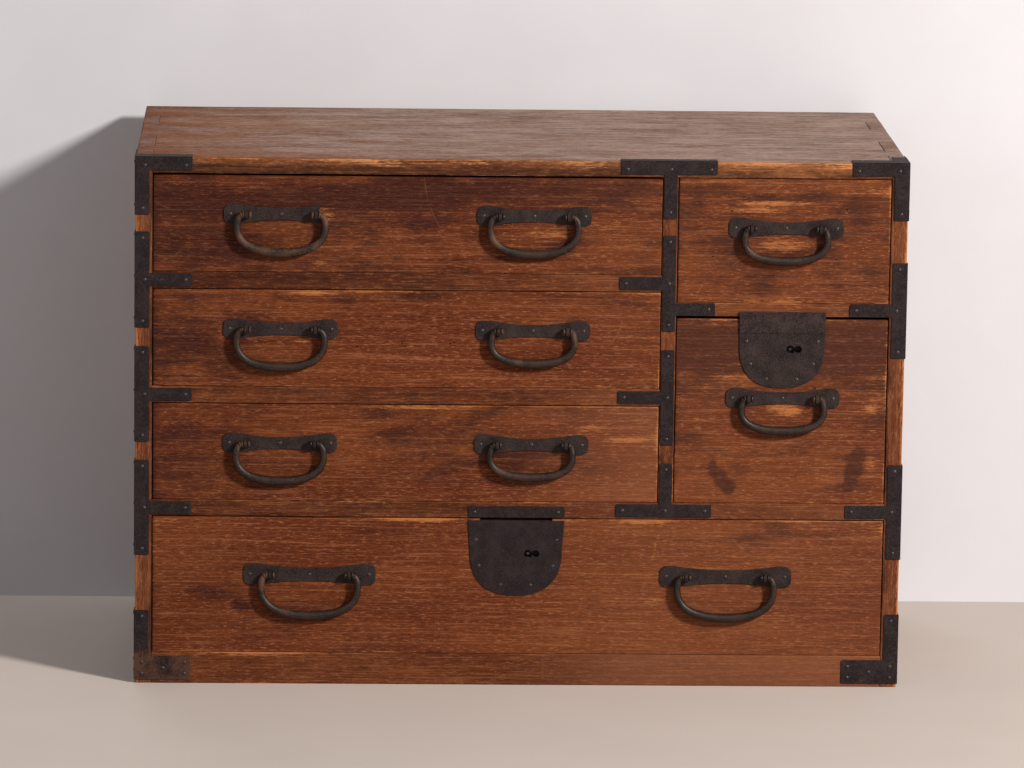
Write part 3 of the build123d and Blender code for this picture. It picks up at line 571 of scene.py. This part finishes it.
plain = {name: [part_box(name)] for name in ("wide_shelf", "base_board", "divider_board")}
shelf_low, shelf_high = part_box("short_shelves")
shelf_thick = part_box("wide_shelf")[1].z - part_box("wide_shelf")[0].z
shelf_tops = [(inner_left, post_left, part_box("upper_left_rail")[1].z),
              (inner_left, post_left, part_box("lower_left_rail")[1].z),
              (post_right, inner_right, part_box("right_rail")[1].z)]
plain["short_shelves"] = [((x0, shelf_low.y, top - shelf_thick), (x1, shelf_high.y, top))
                          for x0, x1, top in shelf_tops]
runner_low, runner_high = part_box("drawer_runners")
runner_width = 32 * mm
runner_starts = np.linspace(runner_low.x, runner_high.x - runner_width, 3)
plain["drawer_runners"] = [((x, *runner_low[1:]), (x + runner_width, *runner_high[1:]))
                           for x in runner_starts]
back_low, back_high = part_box("back_boards")
back_seams = np.linspace(back_low.z, back_high.z, 4)
plain["back_boards"] = [((*back_low[:2], z0), (*back_high[:2], z1))
                        for z0, z1 in zip(back_seams[:-1], back_seams[1:])]
for seed, (name, boxes) in enumerate(plain.items(), 40):
    clipped = [((max(low[0], inner_left), *low[1:]), (min(high[0], inner_right), *high[1:]))
               for low, high in boxes]
    inner_piece(name, "carcass", clipped, 0.8 * mm, 12 * mm, seed, 0.3, 0.3, (0.2, 0.2, 0.05))

# %% [markdown]
# ## Drawers
# A drawer is a thick front with a rebate that takes two thin sides and a bottom, and a lower back.
# The front of a drawer with a lock has a pocket behind its plate for the case. Each front has its
# own marks: dark lacquer left at the top and left, chips, stains and rubbed edges. Part of the dark
# on the left is painted shade: a narrow band along each front's left edge, beside the gap, and some
# of the top left drawer's dark left half, on the side away from the lamp.

# %% What each drawer's front has gone through
# For each drawer: how dark its front is, how much pale veil it has (partly painted sheen), its dark
# marks, its worn marks and its old nail holes. A mark is (across, up, half width, half height, strength)
# and a hole (across, up). Places and sizes are in mm, across from the chest's middle and up from the floor.
fronts = {
    # The top left drawer's dark marks lie mostly on its left: partly darker lacquer, partly painted shade on
    # the side away from the lamp.
    "top_left_drawer": (
        0.44, 0.07,
        [(-330, 560, 120, 26, 0.6), (-120, 575, 110, 20, 0.75), (70, 578, 90, 18, 0.55),
         (-360, 510, 90, 30, 0.55), (-170, 545, 60, 30, 0.3)],
        [(-230, 492, 10, 7, 0.55), (62, 503, 14, 3, 0.5), (-224, 549, 12, 9, 0.6),
         (-100, 522, 130, 22, 0.14), (90, 530, 60, 35, 0.16), (14, 526, 34, 12, 0.3)],
        []),
    "middle_left_drawer": (
        0.22, 0.06,
        [(-360, 405, 90, 60, 0.5), (-150, 452, 160, 8, 0.3), (40, 400, 120, 50, -0.1)],
        [(-240, 457, 30, 3, 0.7), (-250, 402, 12, 4, 0.6), (-60, 395, 120, 25, 0.2)],
        [(-187.1, 395.5), (-135.9, 399.3), (-132.2, 396.6), (-92.5, 414.2), (-80.6, 400.0), (-76.3, 401.0)]),
    "lower_left_drawer": (
        0.22, 0.3,
        [(-350, 285, 90, 55, 0.38), (0, 322, 150, 7, 0.3), (110, 275, 80, 60, -0.4),
         (-90, 270, 110, 45, 0.4)],
        [(-100, 325, 60, 3, 0.5), (100, 280, 60, 40, 0.16)],
        []),
    "top_right_drawer": (
        0.24, 0.08,
        [(395, 560, 40, 26, 0.55), (310, 572, 70, 10, 0.5), (215, 560, 30, 30, 0.2),
         (310, 475, 120, 22, 0.25)],
        [(290, 566, 75, 3, 0.5), (310, 556, 80, 3, 0.45), (270, 550, 50, 2.5, 0.4),
         (300, 518, 36, 11, 0.65), (320, 480, 80, 20, 0.12)],
        [(238.7, 556.1), (370.4, 558.1), (359.3, 501.3), (218.0, 503.1)]),
    "deep_right_drawer": (
        0.3, 0.1,
        [(215, 403, 52, 34, 1.0), (390, 403, 52, 34, 1.0), (390, 272, 7, 12, 1.2),
         (385, 256, 9, 15, 1.5), (380, 241, 6, 11, 1.3), (222, 258, 5, 9, 1.1),
         (231, 246, 7, 10, 1.3), (241, 234, 7, 9, 1.4), (300, 395, 140, 50, 0.3),
         (205, 330, 40, 60, 0.3), (300, 300, 120, 20, -0.3)],
        [(210, 300, 14, 60, 0.2), (405, 300, 8, 60, 0.4), (300, 326, 28, 9, 0.8),
         (300, 285, 90, 10, 0.2), (230, 372, 30, 12, 0.2), (380, 372, 30, 12, 0.2)],
        [(338.0, 351.1)]),
    "bottom_drawer": (
        0.13, 0.15,
        [(-322, 94, 7, 6, 1.0), (-313, 91, 6, 4, 0.9), (-350, 120, 110, 60, 0.3),
         (330, 184, 60, 10, 1.0), (250, 172, 60, 7, 0.6), (375, 130, 30, 8, 0.8),
         (-120, 178, 90, 12, 0.3), (180, 120, 330, 90, -0.4)],
        [(-112, 194, 52, 4, 0.75), (145, 194, 40, 3, 0.7), (180, 150, 200, 40, 0.16),
         (-60, 100, 200, 40, 0.14), (-410, 190, 26, 8, 0.5), (156, 152, 2.5, 7, 0.5),
         (158, 164, 2.5, 7, 0.5), (161, 176, 2.5, 7, 0.5), (163, 188, 2.5, 6, 0.5)],
        []),
}

# %% Making the drawers
wall_thick = 9 * mm
back_drop = 8 * mm
pocket_gap = 0.3 * mm
hole_half, hole_depth = 0.8 * mm, 5 * mm
for seed, (drawer, (soot, veil_and_sheen_amount, dark_marks, worn_marks, holes)) in enumerate(fronts.items(), 60):
    low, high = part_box(f"{drawer}_front")
    floor_low, floor_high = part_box(f"{drawer}_bottom")
    wall_low, wall_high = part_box(f"{drawer}_walls")
    sides = [((x, *wall_low[1:]), (x + wall_thick, *wall_high[1:]))
             for x in (wall_low.x, wall_high.x - wall_thick)]
    cuts = [(tuple(floor_low), tuple(floor_high)), *sides]
    cuts = [((a[0] - everywhere * (a[0] < low.x + mm), a[1], a[2] - everywhere * (a[2] < low.z + mm)),
             (b[0] + everywhere * (b[0] > high.x - mm), everywhere, b[2])) for a, b in cuts]
    if f"{drawer}_lock_case" in frame["nodes"]:
        case_low, case_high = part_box(f"{drawer}_lock_case")
        cuts.append(((case_low.x - pocket_gap, -everywhere, case_low.z - pocket_gap),
                     (case_high.x + pocket_gap, case_high.y + pocket_gap, everywhere)))
    cuts += [((x * mm - hole_half, -everywhere, z * mm - hole_half),
              (x * mm + hole_half, low.y + hole_depth, z * mm + hole_half)) for x, z in holes]
    points, faces, rim = board(low, high, cuts, 1.1 * mm, 3.2 * mm, seed)
    from_left = points[:, 0] - low.x
    streaky = figure(points, 10 * seed)
    # Painted shade: along each front's left edge, beside the gap, the wear is held down and a dark band 2.5
    # mm wide is added below.
    worn = edge_wear(points, rim, seed, 2.6 * mm, 0.8) * (1 - 0.8 * np.exp(-from_left / (5 * mm)))
    worn += spots(points, worn_marks) + 0.7 * np.clip(-streaky, 0, 1)
    worn += 0.16 * np.clip(ripple(points, (0.12, 0.12, 0.02), seed + 20), 0, 1)
    dark = soot + spots(points, dark_marks) + 0.6 * np.exp(-from_left / (2.5 * mm)) + streaky
    dark += 0.22 * ripple(points, (0.16, 0.16, 0.03), seed + 40)
    piece(f"{drawer}_front", drawer, "front_wood", front_wood, points, faces, worn=worn, dark=dark,
          haze=veil_and_sheen_from(points, veil_and_sheen_amount))

    back = ((wall_low.x + wall_thick, wall_high.y - wall_thick, wall_low.z),
            (wall_high.x - wall_thick, wall_high.y, wall_high.z - back_drop))
    inner_piece(f"{drawer}_walls", drawer, [*sides, back], 0.7 * mm, 9 * mm, seed, 0.4, 0.2, (0.1, 0.1, 0.03))
    inner_piece(f"{drawer}_bottom", drawer, [(floor_low, floor_high)], 0.7 * mm, 12 * mm, seed, 0.3, 0.3,
                (0.2, 0.04, 0.2))
print("drawers made:", len(fronts))

# %% [markdown]
# ## Flat irons
# Straps, handle plates and lock plates are cut sheet with nail holes, so their outline from the
# frame is kept, and a narrow flat is worked along every sharp edge, as a file would. The nails sit
# in the same nodes and are told apart by their size: a piece of mesh is whatever its edges hold
# together, where just two triangles meet at an edge.

# %% Neighbours
def twins(triangles):
    """For each side of each triangle the side that runs back along it, and whether these two are
    the only ones there.

    A side from point a to point b has the key a * n + b, so its twin is the side with b * n + a."""
    start, end = triangles.ravel(), np.roll(triangles, -1, axis=1).ravel()
    count = triangles.max() + 1
    key, turned_key = start * count + end, end * count + start
    order = np.argsort(key)
    first, last, own_first, own_last = [np.searchsorted(key[order], wanted, side=side)
                                        for wanted in (turned_key, key) for side in ("left", "right")]
    alone = (last - first == 1) & (own_last - own_first == 1)
    return order[np.minimum(first, len(key) - 1)], alone


def regions(triangles, twin, held):
    """The number of each triangle's region, in which triangles hold together at the held sides.

    Each triangle starts with its own number and takes the lowest one next to it until none changes."""
    owner, other = np.repeat(np.arange(len(triangles)), 3)[held], (twin // 3)[held]
    region = np.arange(len(triangles))
    while True:
        lowest = region.copy()
        np.minimum.at(lowest, owner, region[other])
        lowest = lowest[lowest]
        if (lowest == region).all():
            return np.unique(region, return_inverse=True)[1].ravel()
        region = lowest


# %% Sheets and nails of a frame node
def split_nails(node, thin=3 * mm, wide=5.5 * mm):
    """A node's sheets as points and triangles, and its nails as (lowest corner, highest corner).

    A piece is told by the middle one of its three sizes: a nail or its head lies between thin and
    wide, a sheet is wider, and a shank that fills a plate's hole is thinner and stays hidden."""
    mesh = frame["nodes"][node].data
    raw = np.zeros(len(mesh.vertices) * 3, np.float32)
    mesh.vertices.foreach_get("co", raw)
    corners = np.zeros(len(mesh.loops), np.int32)
    mesh.loops.foreach_get("vertex_index", corners)
    points, merged = np.unique(np.round(raw.reshape(-1, 3).astype(float), 6), axis=0, return_inverse=True)
    triangles = merged.ravel()[corners].reshape(-1, 3)
    triangles = triangles[(triangles != np.roll(triangles, 1, axis=1)).all(1)]
    region = regions(triangles, *twins(triangles))
    lows = np.full((region.max() + 1, 3), np.inf)
    highs = -lows
    for corner in triangles.T:
        np.minimum.at(lows, region, points[corner])
        np.maximum.at(highs, region, points[corner])
    middle_size = np.sort(highs - lows, axis=1)[:, 1]
    is_nail = (middle_size > thin) & (middle_size < wide)
    used, renumbered = np.unique(triangles[middle_size[region] > wide], return_inverse=True)
    return points[used], renumbered.reshape(-1, 3), list(zip(lows[is_nail], highs[is_nail]))


# %% Tubes and nail heads
def tube(rings, sides):
    """The faces of a closed tube: four-sided ones from ring to ring, and a fan at each end.

    Point number k * sides + i is the i-th of ring k. Two more points follow, the first for the fan
    on the first ring and the second for the fan on the last one."""
    around = np.arange(sides)
    following = np.roll(around, -1)
    start = sides * np.arange(rings - 1)[:, None]
    walls = np.stack([start + around, start + sides + around,
                      start + sides + following, start + following], -1).reshape(-1, 4)
    end = sides * rings
    last = end - sides
    return walls, np.concatenate([
        np.stack([around, following, np.full(sides, end)], -1),
        np.stack([last + following, last + around, np.full(sides, end + 1)], -1)])


def nail_heads(boxes, head_height, seed, sides=14, rings=5):
    """Hand-made nail heads, one for each nail's box, on the side that looks out of the chest.

    A head is a cap: rings shrink as the cosine of an angle while they rise as its sine, and each
    ring's radius wanders a little with its direction. A last point closes the top."""
    dice = np.random.default_rng(seed)
    turn = np.linspace(0, 2 * math.pi, sides, endpoint=False)
    rise = np.linspace(0, math.pi / 2, rings, endpoint=False)
    inside = (0, 0, under_top / 2)
    shapes, faces = [], []
    for number, (low, high) in enumerate(boxes):
        size, middle = high - low, (low + high) / 2
        axis = int(np.argmax(np.abs(size - np.median(size))))
        across, along = (axis + 1) % 3, (axis + 2) % 3
        outward = 1.0 if middle[axis] > inside[axis] else -1.0
        radius = size[across] / 2 * dice.uniform(0.86, 0.97)
        uneven = (1 + 0.07 * np.cos(2 * turn + dice.uniform(0, 6))
                  + 0.04 * np.cos(3 * turn + dice.uniform(0, 6)))
        ring = radius * np.cos(rise)[:, None] * np.minimum(uneven, 1.03)
        tall = head_height * dice.uniform(0.75, 0.98)
        base = (high[axis] if outward > 0 else low[axis]) - outward * head_height
        points = np.tile(middle, (rings * sides + 2, 1))
        points[:-2, across] += (ring * np.cos(turn)).ravel()
        points[:-2, along] += (ring * np.sin(turn)).ravel()
        points[:-2, axis] = np.repeat(base + outward * tall * np.sin(rise), sides)
        points[-2:, axis] = base, base + outward * tall
        for part in tube(rings, sides):
            faces += ((part[:, ::-1] if outward > 0 else part) + number * len(points)).tolist()
        shapes.append(points)
    return np.concatenate(shapes), faces


# %% Filed edges
def filed(points, triangles, width=0.35 * mm, sharp=40):
    """A closed shape of triangles with a narrow flat along each of its sharp edges: points and faces.

    Triangles that meet at less than the sharp angle form a region with its own copy of its points.
    A copy on the region's rim moves inwards by width * n * s / |s|^2, where s is the sum of the
    inward directions of the rim's edges at that point and n their number, so that it ends one width
    away from each of them. A four-sided face then closes the gap along each rim edge, and a fan
    closes each corner where three or more regions meet."""
    start, end, opposite = (np.roll(triangles, -turn, axis=1).ravel() for turn in range(3))
    owner = np.repeat(np.arange(len(triangles)), 3)
    along = points[end] - points[start]
    normals = np.cross(along, points[opposite] - points[start])
    normals /= lengths(normals)
    twin, alone = twins(triangles)
    flat = (normals * normals[twin]).sum(1) > math.cos(math.radians(sharp))
    region = regions(triangles, twin, alone & flat)
    (at_point, _), copy = np.unique(np.stack([start, region[owner]]), axis=1, return_inverse=True)
    copy = copy.ravel()
    copy_of_end = np.roll(copy.reshape(-1, 3), -1, axis=1).ravel()

    on_rim = np.flatnonzero(alone & (region[owner] != region[owner[twin]]))
    inward = np.cross(normals[on_rim], along[on_rim])
    inward /= lengths(inward)
    summed, number = np.zeros((len(at_point), 3)), np.zeros(len(at_point))
    for side in (copy, copy_of_end):
        np.add.at(summed, side[on_rim], inward)
        np.add.at(number, side[on_rim], 1)
    move = width * number[:, None] * summed / np.maximum((summed ** 2).sum(1, keepdims=True), 1e-9)
    moved = points[at_point] + move * np.minimum(1, 2 * width / lengths(move))

    edge = on_rim[start[on_rim] < end[on_rim]]
    flats = np.stack([copy_of_end[edge], copy[edge], copy_of_end[twin[edge]], copy[twin[edge]]], axis=1)
    link = np.concatenate([flats[:, [2, 1]], flats[:, [0, 3]]])
    anchor = np.searchsorted(at_point, at_point[link[:, 0]])
    fans = np.concatenate([anchor[:, None], link], axis=1)[(link != anchor[:, None]).all(1)]
    return moved, copy.reshape(-1, 3).tolist() + flats.tolist() + fans.tolist()


def foot_rust(points):
    """How rusty the chest's foot is at a point, next to how rusty it is on the left."""
    near_floor = 1 / (1 + np.exp((points[:, 2] - 45 * mm) / (6 * mm)))
    return near_floor * np.where(points[:, 0] < 0, 1, 3 / 7)


def filed_sheet(node, body, slot, material, nail_height, seed, rust=0.0):
    """The sheets of a node with filed edges, and its nails as a second piece."""
    points, triangles, nails = split_nails(node)
    if len(points):
        points, faces = filed(points, triangles)
        piece(node, body, slot, material, points, faces, 30, rust=rust * foot_rust(points))
    if nails:
        points, faces = nail_heads(nails, nail_height, seed)
        piece(node, body, "nail_iron", nail_iron, points, faces, 60, part="_nails")
    return len(nails)


strap_nail_height, plate_nail_height = 1.2 * mm, 1.0 * mm
total = 0
for seed, node in enumerate(["corner_irons", "side_edge_irons", "post_irons", "lock_strike_strip",
                             "strap_nails"], 100):
    total += filed_sheet(node, "carcass", "strap_iron", strap_iron, strap_nail_height, seed,
                         rust=0.42 if node == "corner_irons" else 0.0)
for seed, drawer in enumerate(fronts, 120):
    for node in (f"{drawer}_handle_irons", f"{drawer}_lock_plate"):
        if node in frame["nodes"]:
            finish = strap_iron if node == "bottom_drawer_lock_plate" else plate_iron
            total += filed_sheet(node, drawer, "plate_iron", finish, plate_nail_height, seed)
print("nails:", total)

# %% [markdown]
# ## Drop handles
# A handle is one forged bar: thick at the bottom, thinner at the shoulders, with two filed rings
# before it enters the eye and a small knob behind it. It is a circle carried along a path, straight
# through the eye and then along two joined cubic curves. The circle's radius changes on the way:
# the knob, the neck and the rings are all in one list of radii.

# %% A bar along a path
def cubic(a, b, c, d, count):
    """Points on a cubic curve: each of its four points is weighed by the product of powers of t and
    1 - t that belongs to it."""
    t = np.linspace(0, 1, count)[:, None]
    a, b, c, d = (np.array(p, float) for p in (a, b, c, d))
    return a * (1 - t) ** 3 + 3 * b * t * (1 - t) ** 2 + 3 * c * t ** 2 * (1 - t) + d * t ** 3


def forged_bar(path, radii, sides, seed):
    """A bar round a path in an upright plane: its points and faces.

    At each path point the circle lies across the path's direction: one of its axes is that direction
    turned by a right angle in the plane, and the other is Y. A point closes each end."""
    ahead = np.gradient(path, axis=0)
    ahead /= lengths(ahead)
    side = np.stack([-ahead[:, 2], np.zeros(len(path)), ahead[:, 0]], -1)
    turn = np.linspace(0, 2 * math.pi, sides, endpoint=False)[None, :, None]
    circle = side[:, None] * np.cos(turn) + np.array([0, 1, 0]) * np.sin(turn)
    reach = circle * radii[:, None, None]
    uneven = 1 + 0.02 * ripple((path[:, None] + reach).reshape(-1, 3), (0.004, 0.004, 0.004), seed)
    points = path[:, None] + reach * np.minimum(uneven, 1).reshape(len(path), sides, 1)
    walls, fans = tube(len(path), sides)
    return np.concatenate([points.reshape(-1, 3), path[[0, -1]]]), walls.tolist() + fans.tolist()


# %% The handles
# In mm. A tip radius comes with its distance along the path from the knob's end. A handle's shape is
# (how far its eyes are from its middle, its half width, its drop).
eye_half, end_play, knob_width = 2.0, 0.4, 3.4
shoulder_fall, fullness = 14.0, 0.66
side_radius, foot_radius = 3.8, 5.3
tip_radii = [(0.0, 1.4), (0.3, 2.9), (0.9, 3.9), (1.7, 4.2), (2.6, 4.0), (3.3, 3.2), (3.4, 2.5), (8.2, 2.5),
             (8.3, 3.4), (8.9, 4.4), (9.8, 4.4), (10.3, 3.3), (10.8, 3.2), (11.3, 4.1), (12.0, 4.1),
             (12.5, 3.2), (14.5, 3.25), (19.0, side_radius)]
handle_shapes = [(39.5, 54.0, 48.5), (39.5, 51.1, 42.5), (45.5, 59.5, 52.5)]
brown_handles = {"top_left_drawer_bail_left": 0.36, "top_left_drawer_bail_right": 0.16}
pivots = {joint["child"]: np.array(joint["pos_m"]) for joint in frame["joints"] if joint["type"] == "hinge"}


def handle_path(wide):
    """The path and the radii of the handle whose half width is nearest to a width in the frame.

    Half of it runs from the knob to the middle of the foot, and the other half mirrors it."""
    eye, half_width, drop = min(handle_shapes, key=lambda shape: abs(shape[1] - wide / mm))
    side, foot = half_width - side_radius, drop - foot_radius
    knob_end = eye - eye_half - end_play - knob_width
    outside = eye + eye_half + end_play
    straight = np.linspace((knob_end, 0, 0), (outside, 0, 0), 60)[:-1]
    shoulder = cubic((outside, 0, 0), (outside + fullness * (side - outside), 0, 0),
                     (side, 0, -shoulder_fall * (1 - fullness)), (side, 0, -shoulder_fall), 60)[:-1]
    bow = cubic((side, 0, -shoulder_fall), (side, 0, -shoulder_fall - fullness * (foot - shoulder_fall)),
                (fullness * side, 0, -foot), (0, 0, -foot), 60)
    half = np.concatenate([straight, shoulder, bow])
    run = np.append(0, np.cumsum(np.linalg.norm(np.diff(half, axis=0), axis=1)))
    radii = np.interp(run, *zip(*tip_radii))
    t = np.linspace(0, 1, len(bow))
    radii[-len(bow):] += (foot_radius - side_radius) * t * t * (3 - 2 * t)
    mirrored = half[-2::-1] * np.array([-1, 1, 1])
    return np.concatenate([half, mirrored]) * mm, np.concatenate([radii, radii[-2::-1]]) * mm


for seed, (name, pivot) in enumerate(pivots.items(), 200):
    path, radii = handle_path(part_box(name)[1].x - pivot[0])
    points, faces = forged_bar(path + pivot, radii, 20, seed)
    at_eyes = np.exp(-((points[:, 2] - pivot[2]) / (5 * mm)) ** 2)
    rust = brown_handles.get(name, 0.1) + 0.15 * ripple(points, (0.01, 0.01, 0.01), seed) + 0.15 * at_eyes
    piece(name, name, "bail_iron", bail_iron, points, faces, 60, rust=rust)
print("handles:", len(pivots))

# %% Lock works
for node, made in frame["nodes"].items():
    if "_lock_case" in node or "_lock_bolt" in node:
        made.data.materials.clear()
        made.data.materials.append(lock_steel)

# %% [markdown]
# ## Floor and light
# A pale floor and a pale wall catch the shadow. One lamp, high on the right and in front, models
# the wood and the handles, a wide weak one opposite keeps the shadows open, and one behind lights
# the back. For the eye the floor and the wall fade into a pale background a metre or two away from
# the chest. The wall is there only for an eye in front of it: light passes through it, and so does
# a look from behind.

# %% Floor and wall
chest_middle, fade_start, fade_end = (0, 0, 0.3), 1.05, 2.2


def eye_sees(tree):
    """1 for a look, straight, in a mirror or through glass, and 0 for light on its way."""
    path = put(tree, "LightPath")
    return highest(tree, path["Is Camera Ray"], path["Is Glossy Ray"], path["Is Transmission Ray"])


def backdrop(name, corners, first, second, solid_for):
    """One large face that isn't part of the chest. It is mottled in two colours, and a sum on the
    look and on the nearness to the chest says how solid it is."""
    paint, tree, shader = finish_with(f"pale_{name}", {"Roughness": 0.8})
    place = put(tree, "TexCoord")["Object"]
    fill(tree, shader, {"Base Color": tone(tree, cloud(tree, place, (6, 6, 6), 4.0, 0.6), first, second)})
    distance = put(tree, "VectorMath", {0: place, 1: chest_middle}, operation="DISTANCE")["Value"]
    solid = solid_for(tree, eye_sees(tree), between(tree, distance, fade_start, fade_end, 1.0, 0.0))
    mixed = put(tree, "MixShader", {0: solid, 1: put(tree, "BsdfTransparent")[0],
                                    2: tree.nodes["Principled BSDF"].outputs[0]})[0]
    fill(tree, tree.nodes["Material Output"].inputs, {"Surface": mixed})
    mesh = bpy.data.meshes.new(name)
    mesh.from_pydata(corners, [], [(0, 1, 2, 3)])
    mesh.materials.append(paint)
    show(name, mesh)


def floor_solid(tree, looked_at, near):
    """Solid for light, and near the chest also for the eye."""
    return calc(tree, "SUBTRACT", 1.0, times(tree, looked_at, calc(tree, "SUBTRACT", 1.0, near)))


def wall_solid(tree, looked_at, near):
    """Solid only for an eye in front of it, near the chest, and not along its edge."""
    in_front = calc(tree, "SUBTRACT", 1.0, put(tree, "NewGeometry")["Backfacing"])
    edge_on = put(tree, "LayerWeight", {"Blend": 0.5})["Facing"]
    return times(tree, looked_at, near, in_front, between(tree, edge_on, 0.65, 0.85, 1.0, 0.0))


far, wall_y = 8.0, 0.243
backdrop("floor", [(-far, -far, 0), (far, -far, 0), (far, far, 0), (-far, far, 0)],
         tint(204, 190, 180), tint(212, 199, 190), floor_solid)
backdrop("wall", [(-far, wall_y, 0), (far, wall_y, 0), (far, wall_y, far), (-far, wall_y, far)],
         tint(209, 207, 211), tint(221, 220, 224), wall_solid)


# %% Lamps
def lamp(name, place, target, size, power, colour=(1, 1, 1)):
    """A square lamp that looks at a point."""
    made = show(name, bpy.data.lights.new(name, "AREA"))
    made.data.size, made.data.energy, made.data.color = size, power, colour
    made.location = place
    made.rotation_euler = (Vector(target) - Vector(place)).to_track_quat("-Z", "Y").to_euler()
    return made


front_middle, back_middle = (0, -0.2, 0.3), (0, 0.2, 0.3)
lamp("key", (3.4, -3.26, 2.68), front_middle, size=0.6, power=328, colour=(1.0, 0.97, 0.93))
lamp("fill", (-2.6, -3.2, 2.0), front_middle, size=2.5, power=9, colour=(0.95, 0.97, 1.0))
rear = lamp("rear", (-0.8, 3.0, 2.6), back_middle, size=2.0, power=34)
rear.visible_glossy = False

world = bpy.data.worlds.new("studio")
world.use_nodes = True
tree = world.node_tree
looked_at = eye_sees(tree)
light_strength, cool_sky, pale_backdrop = 0.2, (0.96, 0.97, 1.0, 1.0), tint(230, 224, 224)
fill(tree, tree.nodes["Background"].inputs,
     {"Color": tone(tree, looked_at, cool_sky, pale_backdrop),
      "Strength": between(tree, looked_at, 0.0, 1.0, light_strength, 1.0)})
bpy.context.scene.world = world
bpy.context.scene.view_settings.view_transform = "Standard"
